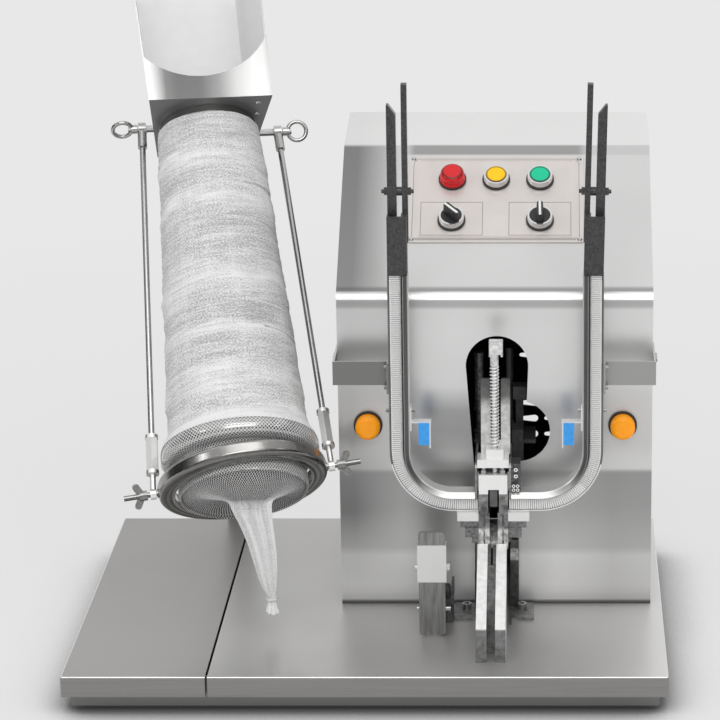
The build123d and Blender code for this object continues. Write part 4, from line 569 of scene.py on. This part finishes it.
dress("control_bezels", bezel_chrome, seat_black)
repaint("control_bezels", 1, lambda place, normal: out_of_slope(place) < seat_top)
for name, cap in (("power_button", green_cap), ("reset_button", yellow_cap)):
    dress(name, cap, seat_black)
    repaint(name, 1, lambda place, normal: abs(normal.dot(slope_out)) < 0.4)
dress("red_lamp", red_lens, bezel_chrome)
for name in ("left_selector", "right_selector"):
    tops = [corner.co for corner in nodes[name].data.vertices if out_of_slope(corner.co) > lever_top]
    ends = max(((a, b) for a in tops for b in tops), key=lambda pair: (pair[0] - pair[1]).length)
    lever_way = (ends[0] - ends[1]).normalized()
    lever_across = lever_way.cross(slope_out).normalized()
    lever_line = coated(name + "_line", (0.85, 0.85, 0.83), 0.4, 0.03)
    tree = lever_line.node_tree
    aside = sum_up(tree, "SUBTRACT", along(tree, lever_across), (ends[0] + ends[1]).dot(lever_across) / 2)
    stripe = tone(tree, sum_up(tree, "ABSOLUTE", aside, 0), 0, 0.01, (0.0011, 1), (0.0014, 0.03))
    tinted(lever_line, stripe)
    dress(name, lever_black, lever_line)
    repaint(name, 1, lambda place, normal: out_of_slope(place) > lever_top and normal.dot(slope_out) > 0.95)
dress("switch_blocks", block_grey)

# Side lamps: amber domes on black bodies in flat bezels, one on each side of the clip rails. Their domes
# and the two coloured buttons are of clear plastic that glows a little.
amber_lens = coated("amber_lens", (1, 0.34, 0), 0.3, 0.08, 220)
lamp_body = -0.0918
for lens, colour, glow in (
    (amber_lens, (1, 0.34, 0, 1), 0.22),
    (yellow_cap, (1, 0.55, 0, 1), 0.12),
    (green_cap, (0, 0.52, 0.28, 1), 0.12),
):
    shader_of(lens).inputs["Emission Color"].default_value = colour
    shader_of(lens).inputs["Emission Strength"].default_value = glow
dress("side_lamps", amber_lens, seat_black)
repaint("side_lamps", 1, lambda place, normal: place.y > lamp_body)

# Clip rails: long folded channels that guide the sticks of clips down and round into the head. Their inner
# wall is a thick bar with a painted dark reflection on its upright runs, a painted bright reflection on its
# low run and a painted highlight round the edge of its bend. The groove behind the clips is painted dark as
# shade, and the outer edge low down is a painted highlight.
rail_middle = 0.13
rail_half = 0.1095
rail_low = 0.1635
rail_bend = 0.065
rail_front = -0.1485
rail_rear = -0.1305
bar_start = 0.0157
rail_dark = brushed("rail_dark", (0.2, 0.2, 0.2), 0.35, (300, 300, 300), 0.1)
bar_painted_light = satin("bar_painted_light", (0.95, 0.95, 0.94), 0.3, 0.02, 0.5)
bar_painted_reflection = satin("bar_painted_reflection", (0.9, 0.9, 0.89), 0.3, 0.04, 0.5)
tree = bar_painted_reflection.node_tree
height = along(tree, upwards)
# Painted reflection on the bar: bright low in the bend, dark on the upright runs, with a painted highlight round
# the bend's edge.
bar_reflection_by_height = tone(tree, height, 0.15, 0.4, (0.176, 1), (0.186, 0.6), (0.195, 0.22), (0.21, 0.14), (0.39, 0.15))
aside = sum_up(tree, "ABSOLUTE", sum_up(tree, "SUBTRACT", along(tree, to_right), rail_middle), 0)
aside = sum_up(tree, "MAXIMUM", sum_up(tree, "SUBTRACT", aside, rail_half - rail_bend), 0)
below = sum_up(tree, "MAXIMUM", sum_up(tree, "SUBTRACT", rail_low + rail_bend, height), 0)
squares = sum_up(tree, "ADD", sum_up(tree, "MULTIPLY", aside, aside), sum_up(tree, "MULTIPLY", below, below))
from_middle = sum_up(tree, "SQRT", squares, 0)
bar_edge_highlight = tone(
    tree, from_middle, 0.04, 0.05, (0.0437, 0.75), (0.0446, 0.7), (0.0455, 0), (0.0478, 0), (0.0488, 0.22),
    (0.0494, 0.5),
)
tinted(bar_painted_reflection, sum_up(tree, "MAXIMUM", bar_reflection_by_height, bar_edge_highlight))
rail_edge = satin("rail_edge", (0.86, 0.86, 0.85), 0.3, 0.04)
rail_back = brushed("rail_back", (0.45, 0.45, 0.445), 0.3, (300, 300, 300))


def from_outside(side, place):
    """How far a place lies in from the outer side of a rail, along its run and round its bend."""
    inward = side * (rail_middle - place.x) + rail_half
    lift = place.z - rail_low
    if lift >= rail_bend:
        return inward
    if inward >= rail_bend:
        return lift
    return rail_bend - hypot(rail_bend - inward, rail_bend - lift)


# Painted light and shade: the channel's faces take dark, bright and highlight copies of its steel.
for side, name in ((-1, "left_clip_rail"), (1, "right_clip_rail")):
    dress(name, rail_dark, bar_painted_light, rail_edge, rail_back, bar_painted_reflection)
    repaint(name, 3, lambda place, normal: normal.y > 0.9 and place.y > rail_rear)
    repaint(name, 3, lambda place, normal: from_outside(side, place) < 0.0002)
    repaint(
        name,
        2,
        lambda place, normal: from_outside(side, place) < 0.0015 and normal.y < -0.9 and place.z < 0.215,
    )
    repaint(name, 1, lambda place, normal: from_outside(side, place) > bar_start)
    repaint(name, 4, lambda place, normal: from_outside(side, place) > bar_start and place.z > rail_low + 0.012)

# Clips: the real stick is a row of separate U clips of flat wire, glued side by side. One clip is made as a
# bar with rounded front corners, and copied along the rail.
clip_size = (0.0122, 0.013, 0.00172)
clip_pitch = 0.0022
clip_line = 0.0079
clip_top = 0.415
clip_sunk = 0.0025
clip_y = rail_front + clip_sunk + clip_size[1] / 2
front_area = 0.000012
# The clips' flat fronts on the upright run take a darker copy of their metal, and those past this turn into the
# bend keep the light one: painted shade and painted light.
shaded_front_turn = 0.7
clip_metal = satin("clip_metal", (0.98, 0.98, 0.97), 0.4, 0.03, 0.3)
clip_front_shaded = satin("clip_front_shaded", (0.8, 0.8, 0.79), 0.4, 0.06, 0.4)
bpy.ops.mesh.primitive_cube_add(size=1)
first_clip = bpy.context.object
first_clip.scale = clip_size
rest(first_clip)
bpy.ops.object.mode_set(mode="EDIT")
bpy.context.tool_settings.mesh_select_mode = (False, True, False)
bpy.ops.mesh.select_all(action="DESELECT")
bpy.ops.object.mode_set(mode="OBJECT")
for edge in first_clip.data.edges:
    ends = [first_clip.data.vertices[i].co for i in edge.vertices]
    edge.select = all(end.y < 0 for end in ends) and abs(ends[0].z - ends[1].z) > 0.001
bpy.ops.object.mode_set(mode="EDIT")
bpy.ops.mesh.bevel(offset=0.0015, segments=2)
bpy.ops.object.mode_set(mode="OBJECT")
first_clip.data.materials.append(clip_metal)
first_clip.data.materials.append(clip_front_shaded)
upright = clip_top - rail_low - rail_bend
reach = rail_bend - clip_line
turn_run = radians(90) * reach
for side, name, flat_run in ((-1, "left_clips", 0.0258), (1, "right_clips", 0.0328)):
    outer = rail_middle + side * rail_half
    stick = []
    for i in range(int((upright + turn_run + flat_run) / clip_pitch)):
        gone = (i + 0.5) * clip_pitch
        if gone < upright:
            place = Vector((outer - side * clip_line, clip_y, clip_top - gone))
            turn = 0
        elif gone < upright + turn_run:
            turn = (gone - upright) / reach
            centre = Vector((outer - side * rail_bend, clip_y, rail_low + rail_bend))
            place = centre + Vector((side * reach * cos(turn), 0, -reach * sin(turn)))
        else:
            past = gone - upright - turn_run
            place = Vector((outer - side * (rail_bend + past), clip_y, rail_low + clip_line))
            turn = radians(90)
        one = first_clip.copy()
        one.data = first_clip.data.copy()
        wobble = 0.004 * noise.noise(Vector((i * 1.7, side, 0)))
        one.data.transform(Matrix.Translation(place) @ Matrix.Rotation(side * turn + wobble, 4, "Y"))
        for face in one.data.polygons:
            flat_front = face.area > front_area and face.normal.y < -0.9 and turn < shaded_front_turn
            face.material_index = 1 if flat_front else 0
        bpy.context.collection.objects.link(one)
        stick.append(one)
    pick(*stick)
    bpy.ops.object.join()
    stick[0].name = name
    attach(stick[0], "machine")
    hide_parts(name.replace("clips", "clip_stick"))
pick(first_clip)
bpy.ops.object.delete()

# Brackets and supports of the rails: bent sheet screwed to the housing's sides, and bright ground blocks
# on dark packers beside the jaws.
bracket_steel = satin("bracket_steel", (0.52, 0.515, 0.51), 0.3, 0.04)
# Painted shade: the brackets' sides darken towards the left; their tops take an untinted copy.
shaded(bracket_steel, to_right, -0.05, 0.3, (0, 0.42), (0.25, 0.72))
block_steel = satin("block_steel", (0.86, 0.86, 0.85), 0.35, 0.03)
packer_high = 0.1535
packer_dark = coated("packer_dark", (0.2, 0.2, 0.2), 0.45, 0.5, 350, 0.00002, 0.5)
bracket_top = satin("bracket_top", (0.52, 0.52, 0.515), 0.3, 0.04)
dress("rail_brackets", bracket_steel, bracket_top)
repaint("rail_brackets", 1, lambda place, normal: normal.z > 0.9)
dress("rail_supports", packer_dark, block_steel)
repaint("rail_supports", 1, lambda place, normal: place.z > packer_high)

# Caps and loading blades: cast and sawn black parts with a faintly mottled finish. The blades' inner
# sides are lighter.
cast_black = coated("cast_black", (0.06, 0.06, 0.06), 0.42, 0.4, 420, 0.00002, 0.4)
cast_lighter = coated("cast_lighter", (0.3, 0.3, 0.3), 0.4, 0.6, 500, 0.00003, 0.8)
dress("rail_caps", cast_black)
dress("loading_blades", cast_black, cast_lighter)
repaint("loading_blades", 1, lambda place, normal: abs(normal.x) > 0.8 and normal.x * (place.x - rail_middle) < 0)

# Clip sensors: light blue blocks on bent steel strips. They watch the sticks of clips from the rails'
# inner sides.
rail_wide = 0.0213
sensor_off = 0.0085
sensor_wide = 0.011
sensor_blue = coated("sensor_blue", (0.045, 0.36, 0.88), 0.3, 0.12, 200)
dress("clip_sensors", rail_edge, sensor_blue)
for side in (-1, 1):
    sensor_in = rail_middle + side * (rail_half - rail_wide - sensor_off)
    repaint(
        "clip_sensors",
        1,
        lambda place, normal: -0.0001 < side * (sensor_in - place.x) < sensor_wide + 0.00001
        and 0.2349 < place.z < 0.2581,
    )

# Clipping head: bright machined yoke and jaws between dark cheeks, with the ram and its spring above. The
# guide pads are light below and dark above.
head_bright = satin("head_bright", (0.93, 0.93, 0.92), 0.3, 0.04, 0.5)
head_grey = satin("head_grey", (0.62, 0.62, 0.615), 0.32, 0.05)
head_dark = coated("head_dark", (0.1, 0.1, 0.1), 0.4, 0.75, 320, 0.00003, 0.5)
head_black = coated("head_black", (0.03, 0.03, 0.03), 0.5, 0.5, 200, 0.00001)
bolt_steel = brushed("bolt_steel", (0.45, 0.45, 0.45), 0.3, (500, 500, 500), 0.08)
arm_step = 0.076


def banded(name, low, high, mottle, stops, metallic=0.6):
    """A head part whose tone changes with height over the deck, with a mottled scale on its dark parts."""
    made = coated(name, (0.95, 0.95, 0.94), 0.33, 0.02, 300, 0.00001, metallic)
    shaded(made, upwards, low, high, *stops)
    scale = field(made.node_tree, (170, 170, 170), 4)
    tinted(made, tone(made.node_tree, scale, 0, 1, (0.36, 1 - mottle), (0.62, 1)))
    return made


jaw_bands = ((0.05, 0.35), (0.1, 0.75), (0.144, 0.85), (0.148, 0.32), (0.172, 0.3), (0.18, 0.42))
jaw_steel = banded("jaw_steel", 0.04, 0.2, 0.65, jaw_bands)
plate_steel = banded("plate_steel", 0.04, 0.24, 0.5, ((0.05, 0.3), (0.06, 0.16), (0.14, 0.2), (0.18, 0.4)))
guide_steel = banded("guide_steel", 0.2, 0.36, 0.3, ((0.23, 0.85), (0.272, 0.75), (0.283, 0.22), (0.3, 0.12)))
ram_steel = banded("ram_steel", 0.1, 0.4, 0.35, ((0.2, 0.14), (0.204, 0.16), (0.206, 0.95), (0.36, 0.97)), 0.4)
arm_steel = banded("arm_steel", 0.03, 0.15, 0.12, ((0.04, 0.95), (0.13, 1)), 0.4)
arm_end = coated("arm_end", (0.2, 0.2, 0.2), 0.35, 0.35, 160, 0.00001, 0.5)
gate_bands = ((0.085, 0.1), (0.094, 0.12), (0.096, 0.9), (0.106, 0.9), (0.108, 0.15))
gate_steel = banded("gate_steel", 0.03, 0.15, 0.5, gate_bands)
for name, front, least in (
    ("head_plates", plate_steel, 0.7),
    ("jaw_block", jaw_steel, 0.8),
    ("ram_guide", guide_steel, 0.9),
    ("gate_cylinder", gate_steel, 0.8),
):
    dress(name, front, head_dark)
    repaint(name, 1, lambda place, normal: abs(normal.x) > least)
# The yoke's sides and underside take a grey copy of its bright steel: painted shade.
dress("head_yoke", head_bright, head_grey)
repaint("head_yoke", 1, lambda place, normal: abs(normal.x) > 0.9 or normal.z < -0.9)
dress("head_bolts", bolt_steel)
dress("clip_ram", ram_steel)
dress("knife_box", plate_steel)
dress("guide_arms", arm_steel, arm_end)
repaint("guide_arms", 1, lambda place, normal: normal.y < -0.8 and place.z < arm_step)
dress("air_manifold", head_dark, head_bright)
manifold_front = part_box("air_manifold")[0][1]
repaint("air_manifold", 1, lambda place, normal: normal.y < -0.7 and place.y < manifold_front + 0.0012)
dress("drive_cylinder", head_dark, head_grey)
dress("valve_bridge", head_black, head_dark)

# Ram spring: close coils of round wire round the ram's rod, with its lower end on the crossbar. On the real
# machine it shortens as the ram comes down; here it is one fixed coil at rest.
spring_low, spring_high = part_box("ram_spring")
spring_wire = 0.00085
spring_turns = 24
spring_radius = 0.004
spring_long = spring_high[2] - spring_low[2]
bpy.ops.mesh.primitive_circle_add(
    vertices=8, radius=spring_wire, location=(spring_radius, 0, 0), rotation=(radians(90), 0, 0)
)
coil = bpy.context.object
coil.name = "spring_coil"
rest(coil)
winding = coil.modifiers.new("winding", "SCREW")
winding.steps = 20
winding.render_steps = 20
winding.iterations = spring_turns
winding.screw_offset = (spring_long - 2 * spring_wire) / spring_turns
bpy.ops.object.modifier_apply(modifier="winding")
bpy.ops.object.mode_set(mode="EDIT")
bpy.ops.mesh.select_all(action="SELECT")
bpy.ops.mesh.fill_holes(sides=0)
bpy.ops.mesh.select_all(action="SELECT")
bpy.ops.mesh.normals_make_consistent(inside=False)
bpy.ops.object.mode_set(mode="OBJECT")
bpy.ops.object.shade_smooth()
coil.location = (
    (spring_low[0] + spring_high[0]) / 2,
    (spring_low[1] + spring_high[1]) / 2,
    spring_low[2] + spring_wire,
)
rest(coil)
coil.data.materials.append(head_bright)
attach(coil, "machine")
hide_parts("ram_spring")
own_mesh(coil)

# Trigger: a bent dark paddle with a bright saddle, on a bracket on the deck. Behind it stand its valve
# and the valve's black roller.
paddle_dark = brushed("paddle_dark", (0.27, 0.27, 0.267), 0.35, (260, 260, 30), 0.3, 0.000002)
dress("trigger_paddle", paddle_dark)
sleeve_grey = satin("sleeve_grey", (0.72, 0.72, 0.71), 0.32, 0.08)
dress("paddle_sleeve", sleeve_grey)
dress("paddle_bracket", bolt_steel)
dress("trigger_valve", head_dark)
dress("valve_roller", lever_black)

# Rear fittings: an air inlet and a cable gland of brass, screwed into the rear cover. They are not seen
# from the front.
brass = brushed("brass", (0.65, 0.42, 0.15), 0.3, (400, 400, 400))
dress("rear_fittings", brass)

# Netting tube, collar and brake: rolled and polished stainless steel. The inside of the tube is painted dark,
# as the shade in it. The brake's ring rides on two rods and is held by wing nuts and eye nuts.
polished = brushed("polished", (0.5, 0.495, 0.485), 0.16, (200, 200, 200), 0.03)
ring_dark = brushed("ring_dark", (0.6, 0.595, 0.58), 0.2, (200, 200, 200), 0.1)
ring_side = brushed("ring_side", (0.36, 0.355, 0.345), 0.24, (200, 200, 200))
wing_steel = brushed("wing_steel", (0.3, 0.3, 0.295), 0.3, (300, 300, 300), 0.2)
hex_front_highlight = satin("hex_front_highlight", (0.9, 0.9, 0.89), 0.3, 0.04, 0.5)
tube_inside_shade = brushed("tube_inside_shade", (0.05, 0.05, 0.05), 0.5, (200, 200, 200), 0.1)
rod_steel = brushed("rod_steel", (0.5, 0.5, 0.495), 0.22, (200, 200, 200), 0.03)
mouth = Vector((-0.1285, -0.163, 0.194))
tube_yaw, tube_rise = radians(11.65), radians(49)
tube_along = Vector((-cos(tube_rise) * sin(tube_yaw), cos(tube_rise) * cos(tube_yaw), sin(tube_rise)))
tube_across = Vector((cos(tube_yaw), sin(tube_yaw), 0))
tube_under = tube_along.cross(tube_across)


def off_axis(place, start=mouth):
    """The way to a place from the tube's axis, or from a line along it through another start."""
    reach = place - start
    return reach - tube_along * reach.dot(tube_along)


# The tube's inner faces take the dark copy: painted shade.
dress("net_tube", polished, tube_inside_shade)
repaint("net_tube", 1, lambda place, normal: normal.dot(off_axis(place)) < 0)
dress("tube_collar", polished)
# The ring's flat front face is painted with rings of highlight and dark reflection, as a round bar would show,
# and its side band is a darker copy: painted light and shade.
tree = ring_dark.node_tree
from_middle = off_line(tree, mouth, tube_along)
ring_painted_reflection = tone(
    tree, from_middle, 0.065, 0.09, (0.0712, 1), (0.0722, 1), (0.0728, 0.25), (0.075, 0.32), (0.0775, 0.75),
    (0.0795, 0.3), (0.083, 0.5), (0.0862, 0.3),
)
tinted(ring_dark, ring_painted_reflection)
dress("brake_ring", ring_dark, ring_side)
repaint(
    "brake_ring",
    1,
    lambda place, normal: abs(normal.dot(tube_along)) < 0.5 and normal.dot(off_axis(place)) > 0,
)
dress("brake_rods", rod_steel)
dress("brake_sleeves", rod_steel, hex_front_highlight)
# The sleeves' faces that turn to the front take a bright copy: a painted highlight.
repaint("brake_sleeves", 1, lambda place, normal: normal.y < -0.55)
for side in ("left", "right"):
    dress(side + "_wing_nut", wing_steel)
    dress(side + "_eye_nut", rod_steel)

# Hopper: folded bright sheet on the end of the tube. Its front wall has a painted reflection of the room in
# upright bands, its end plate, which faces the floor, is painted dark grey as shade, and its inside is painted
# white as light.
hopper_steel = satin("hopper_steel", (0.72, 0.72, 0.715), 0.25, 0.02, 0.9)
hopper_front_reflection = satin("hopper_front_reflection", (0.8, 0.8, 0.795), 0.25, 0.02, 0.9)
hopper_corners = [corner.co for corner in nodes["hopper"].data.vertices]
reaches = [corner.dot(tube_across) for corner in hopper_corners]
start, width = min(reaches), max(reaches) - min(reaches)
# Painted reflection of the room in upright bands across the front wall.
bands = (
    (0, 0.9), (0.12, 1), (0.21, 0.27), (0.28, 0.2), (0.42, 0.21), (0.53, 0.38), (0.63, 0.72), (0.75, 0.98),
    (0.81, 0.95), (0.87, 0.55), (1, 0.55),
)
shaded(hopper_front_reflection, tube_across, start, start + width, *[(start + at * width, grey) for at, grey in bands])
hopper_end_shade = satin("hopper_end_shade", (0.2, 0.2, 0.2), 0.4, 0.05, 0.5)
hopper_inside_light = coated("hopper_inside_light", (0.85, 0.85, 0.85), 0.6, 0.02)
dress("hopper", hopper_steel, hopper_front_reflection, hopper_end_shade, hopper_inside_light)
repaint("hopper", 1, lambda place, normal: normal.dot(tube_under) < -0.8)
repaint("hopper", 2, lambda place, normal: normal.dot(tube_along) < -0.8)
hopper_middle = sum(hopper_corners, Vector()) / len(hopper_corners)
repaint(
    "hopper",
    3,
    lambda place, normal: abs(normal.dot(tube_along)) < 0.5 and normal.dot(off_axis(place, hopper_middle)) < 0,
)

# Net sleeve: a long fine net of white thread, pushed together on the tube in wavy folds, where it looks like
# cloth. Below, it is stretched open over the collar and round the lip, and shows its diamond mesh.
net_pitch = 0.0032
net_round = 0.067
thread_low, thread_high = 0.07, 0.14


def stored(tree, name):
    """A value kept at the points of a sheet."""
    made = tree.nodes.new("ShaderNodeAttribute")
    made.attribute_name = name
    return made.outputs["Fac"]


def netting(name, colour, dark):
    """Threads in a diamond mesh on the UV map, closed where the sheet's openness is 0, shaded by its tone."""
    made, tree, shader = finish(name)
    shader.inputs["Roughness"].default_value = 0.8
    spot = tree.nodes.new("ShaderNodeUVMap")
    spot.uv_map = "cut"
    uv = spot.outputs["UV"]
    parts = tree.nodes.new("ShaderNodeSeparateXYZ")
    wire(tree, uv, parts.inputs[0])
    right = sum_up(tree, "MULTIPLY", parts.outputs["X"], 1 / net_pitch)
    upward = sum_up(tree, "MULTIPLY", parts.outputs["Y"], 0.8 / net_pitch)
    first = sum_up(tree, "PINGPONG", sum_up(tree, "ADD", right, upward), 0.5)
    second = sum_up(tree, "PINGPONG", sum_up(tree, "SUBTRACT", right, upward), 0.5)
    thread = level(tree, sum_up(tree, "MINIMUM", first, second), thread_low, thread_high, 1, 0)
    hole = sum_up(tree, "MULTIPLY", sum_up(tree, "SUBTRACT", 1, thread), stored(tree, "opened"))
    wire(tree, sum_up(tree, "SUBTRACT", 1, hole), shader.inputs["Alpha"])
    shade = stored(tree, "shade")
    grain = field(tree, (480, 620, 1), 2, 0.5, uv)
    crease = field(tree, (22, 420, 1), 3, 0.5, uv)
    loose = level(tree, shade, 0.35, 0.95, 1, 0.3)
    speck = sum_up(tree, "MULTIPLY", spread(tree, grain, -0.6, 0.6), loose)
    speck = sum_up(tree, "ADD", speck, spread(tree, crease, -0.2, 0.2))
    weave = sum_up(tree, "MULTIPLY", sum_up(tree, "SUBTRACT", thread, 0.3), 0.3)
    whole = sum_up(tree, "ADD", sum_up(tree, "ADD", shade, speck), weave)
    wire(tree, mixed(tree, "MIX", level(tree, whole, 0, 1, 0, 1), dark, colour), shader.inputs["Base Color"])
    relief(tree, shader, grain, 0.0002)
    return made


def net_sheet(name, rows, columns, place, look):
    """A closed round sheet: place(row, turn) gives its points, look(row, turn) its tone and openness."""
    mesh = bpy.data.meshes.new(name)
    spots = [(j / rows, 2 * pi * i / columns) for j in range(rows + 1) for i in range(columns)]
    points = [place(*spot) for spot in spots]
    looks = [look(*spot) for spot in spots]
    faces = []
    for j in range(rows):
        for i in range(columns):
            after = (i + 1) % columns
            this_row, next_row = j * columns, (j + 1) * columns
            faces.append((this_row + i, this_row + after, next_row + after, next_row + i))
    mesh.from_pydata(points, [], faces)
    for title, index in (("shade", 0), ("opened", 1)):
        layer = mesh.attributes.new(title, "FLOAT", "POINT")
        layer.data.foreach_set("value", [min(1, max(0, pair[index])) for pair in looks])
    around = 2 * pi * net_round
    run = [0]
    for j in range(rows):
        step = points[(j + 1) * columns] - points[j * columns]
        run.append(run[-1] + step.length)
    cut = mesh.uv_layers.new(name="cut")
    for face in mesh.polygons:
        j, i = divmod(face.index, columns)
        for corner, (down, over) in zip(face.loop_indices, ((0, 0), (0, 1), (1, 1), (1, 0))):
            cut.data[corner].uv = (around * (i + over) / columns, run[j + down])
    piece = bpy.data.objects.new(name, mesh)
    bpy.context.collection.objects.link(piece)
    pick(piece)
    bpy.ops.object.shade_smooth()
    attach(piece, "machine")
    return piece


tube_low = 0.058
tube_run = 0.368
low_radius = 0.0702
radius_loss = 0.0185
open_below = 0.0445


def tube_radius(z):
    """The netting tube's outer radius, which shrinks towards the upper end."""
    return low_radius - radius_loss * (z - tube_low) / tube_run


def on_tube(z, radius, turn):
    """A place round the tube: length up the axis, radius, and turn from the right to the underside."""
    return mouth + tube_along * z + (tube_across * cos(turn) + tube_under * sin(turn)) * radius


sleeve_run = [
    (0.413, tube_radius(0.413) + 0.0011), (0.07, tube_radius(0.07) + 0.0013), (0.061, 0.0722),
    (0.055, 0.0762), (0.048, 0.0798), (0.0415, 0.0817), (0.034, 0.0815), (0.0295, 0.0785), (0.0272, 0.0745),
    (0.0268, 0.0685), (0.024, 0.0667), (-0.004, 0.0667), (-0.0068, 0.0657), (-0.0064, 0.0636), (-0.003, 0.0632),
]
sleeve_long = [0]
for (z, radius), (next_z, next_radius) in zip(sleeve_run, sleeve_run[1:]):
    sleeve_long.append(sleeve_long[-1] + hypot(next_z - z, next_radius - radius))
bunches = ((0.362, 0.01), (0.311, 0.015), (0.216, 0.017), (0.153, 0.008), (0.099, 0.012), (0.052, 0.014))


def along_sleeve(share):
    """The sleeve's height and radius at a share of its length."""
    gone = share * sleeve_long[-1]
    k = 0
    while k < len(sleeve_run) - 2 and sleeve_long[k + 1] < gone:
        k += 1
    part = (gone - sleeve_long[k]) / (sleeve_long[k + 1] - sleeve_long[k])
    (z, radius), (next_z, next_radius) = sleeve_run[k], sleeve_run[k + 1]
    return z + (next_z - z) * part, radius + (next_radius - radius) * part


def folds(z, turn):
    """How far the wavy folds stand up, from -1 to 1."""
    round_x, round_y = cos(turn), sin(turn)
    lean = z + 0.006 * noise.noise(Vector((round_x * 1.3, round_y * 1.3, z * 14)))
    wide = noise.noise(Vector((round_x * 0.9, round_y * 0.9, lean * 75)))
    mid = noise.noise(Vector((round_x * 1.6, round_y * 1.6, lean * 170 + 9)))
    fine = noise.noise(Vector((round_x * 4, round_y * 4, lean * 420 + 31)))
    return 0.5 * wide + 0.5 * mid + 0.4 * fine


def bunched(z):
    """How densely the net is pushed together, from 0 to 1."""
    return min(1, sum(exp(-(((z - at) / half) ** 2)) for at, half in bunches))


def sleeve_place(share, turn):
    """A point of the sleeve: low folds, higher in the bunches, and none near the collar."""
    z, radius = along_sleeve(share)
    free = min(1, max(0, (z - tube_low) / 0.012))
    wave = (0.0016 + 0.0012 * bunched(z)) * free
    wobble = 0.0012 * noise.noise(Vector((cos(turn) * 1.2, sin(turn) * 1.2, z * 25))) * free
    return on_tube(z, radius + max(-0.0006, wave * (0.6 + folds(z, turn)) + wobble), turn)


def sleeve_look(share, turn):
    """Tone and openness of the sleeve: crests painted light, troughs painted shade, two creases painted dark as
    shade, and open below.
    """
    z, radius = along_sleeve(share)
    if z < open_below:
        return 0.8, 1
    light = 0.4 + 0.34 * bunched(z) + 0.42 * folds(z, turn)
    light += 0.12 * max(0, noise.noise(Vector((turn * 9, 3, z * 6)))) ** 0.5
    from_right = turn - 2 * pi
    # Two creases, painted as thin dark lines of shade.
    for at, lean in ((0.324, 0.012), (0.155, -0.006)):
        off = abs(z - at - lean * (from_right + 2.2) * 0.2)
        if off < 0.0011 and -1.1 < from_right < -0.25:
            light = 0.02
    return light + 0.2 * max(0, 1 - (z - open_below) / 0.02), 0


net_white = netting("net_white", (0.87, 0.87, 0.87, 1), (0.38, 0.38, 0.38, 1))
tail_white = netting("tail_white", (0.97, 0.97, 0.97, 1), (0.66, 0.66, 0.66, 1))
sleeve = net_sheet("net_sleeve_sheet", 330, 180, sleeve_place, sleeve_look)
sleeve.data.materials.append(net_white)
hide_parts("net_sleeve")

# Net tail: from the lip the net runs inward as an open funnel, gathers in pleats, and hangs down as a
# slender tail that is closed by a clip, with a frayed tuft below.
level_right, level_deep = Vector((1, 0, 0)), Vector((0, 1, 0))
tail_rings = [
    (mouth + tube_along * -0.0035, 0.0628, tube_across, tube_under),
    (Vector((-0.1225, -0.176, 0.1865)), 0.0255, (tube_across + level_right) / 2, (tube_under + level_deep) / 2),
]
for centre, radius in (
    ((-0.119, -0.1815, 0.176), 0.0172),
    ((-0.1095, -0.183, 0.14), 0.0122),
    ((-0.1035, -0.183, 0.1), 0.0078),
    ((-0.1006, -0.183, 0.084), 0.0036),
    ((-0.1004, -0.183, 0.079), 0.0036),
    ((-0.1, -0.183, 0.066), 0.0062),
):
    tail_rings.append((Vector(centre), radius, level_right, level_deep))


def between(a, b, c, d, part):
    """A smooth value between b and c."""
    straight = (c - a) * 0.5 * part
    bent = (a * 2 - b * 5 + c * 4 - d) * 0.5 * part**2
    return b + straight + bent + (b * 3 - c * 3 + d - a) * 0.5 * part**3


def pleats(gone, turn):
    """The seven pleats round the tail, from -1 to 1. They turn a little on the way down."""
    return cos(7 * turn + 0.8 + 0.3 * gone)


def tail_place(share, turn):
    """A point of the tail, between two of its rings."""
    gone = share * (len(tail_rings) - 1)
    k = min(int(gone), len(tail_rings) - 2)
    part = gone - k
    before = tail_rings[max(k - 1, 0)]
    after = tail_rings[min(k + 2, len(tail_rings) - 1)]
    first, second = tail_rings[k], tail_rings[k + 1]
    if k == 0:
        centre = first[0].lerp(second[0], part)
        radius = first[1] + (second[1] - first[1]) * part
    else:
        centre = between(before[0], first[0], second[0], after[0], part)
        radius = max(0.0034, between(before[1], first[1], second[1], after[1], part))
    right = first[2].lerp(second[2], part)
    deep = first[3].lerp(second[3], part)
    uneven = 0.08 * cos(17 * turn + 2) + 0.12 * noise.noise(Vector((turn * 2, gone, 0)))
    radius *= 1 + min(1, max(0, gone - 0.5)) * (0.12 * pleats(gone, turn) + uneven)
    end = 0.004 * noise.noise(Vector((turn * 4, 7, 0))) * max(0, gone - 6) ** 2
    return centre + right * (radius * cos(turn)) + deep * (radius * sin(turn)) + Vector((0, 0, end))


def wing_at(turn, middle, half):
    """1 at a turn, fading on both sides of it."""
    return exp(-((((turn - middle) + pi) % (2 * pi) - pi) / half) ** 2)


def tail_look(share, turn):
    """Tone and openness of the tail: an open funnel with two dense wings, and close pleats below, their crests
    painted light and their folds painted shade.
    """
    gone = share * (len(tail_rings) - 1)
    wing = max(wing_at(turn, 3.3, 0.5), wing_at(turn, -0.25, 0.4))
    if gone < 1.2:
        dense = wing * min(1, gone / 0.8)
        return 0.25 + 0.7 * dense, 1 - 0.75 * dense
    closing = min(1, (gone - 1.2) / 0.8)
    frayed = 0.35 * closing * max(0, 1 - (gone - 2) / 3.5)
    return 0.72 + 0.25 * pleats(gone, turn), (1 - 0.75 * wing) * (1 - closing) + frayed


tail = net_sheet("net_tail_sheet", 140, 140, tail_place, tail_look)
tail.data.materials.append(tail_white)
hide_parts("net_tail")
clip_plain = satin("clip_plain", (0.8, 0.8, 0.79), 0.4, 0.05, 0.4)
dress("tail_clip", clip_plain)
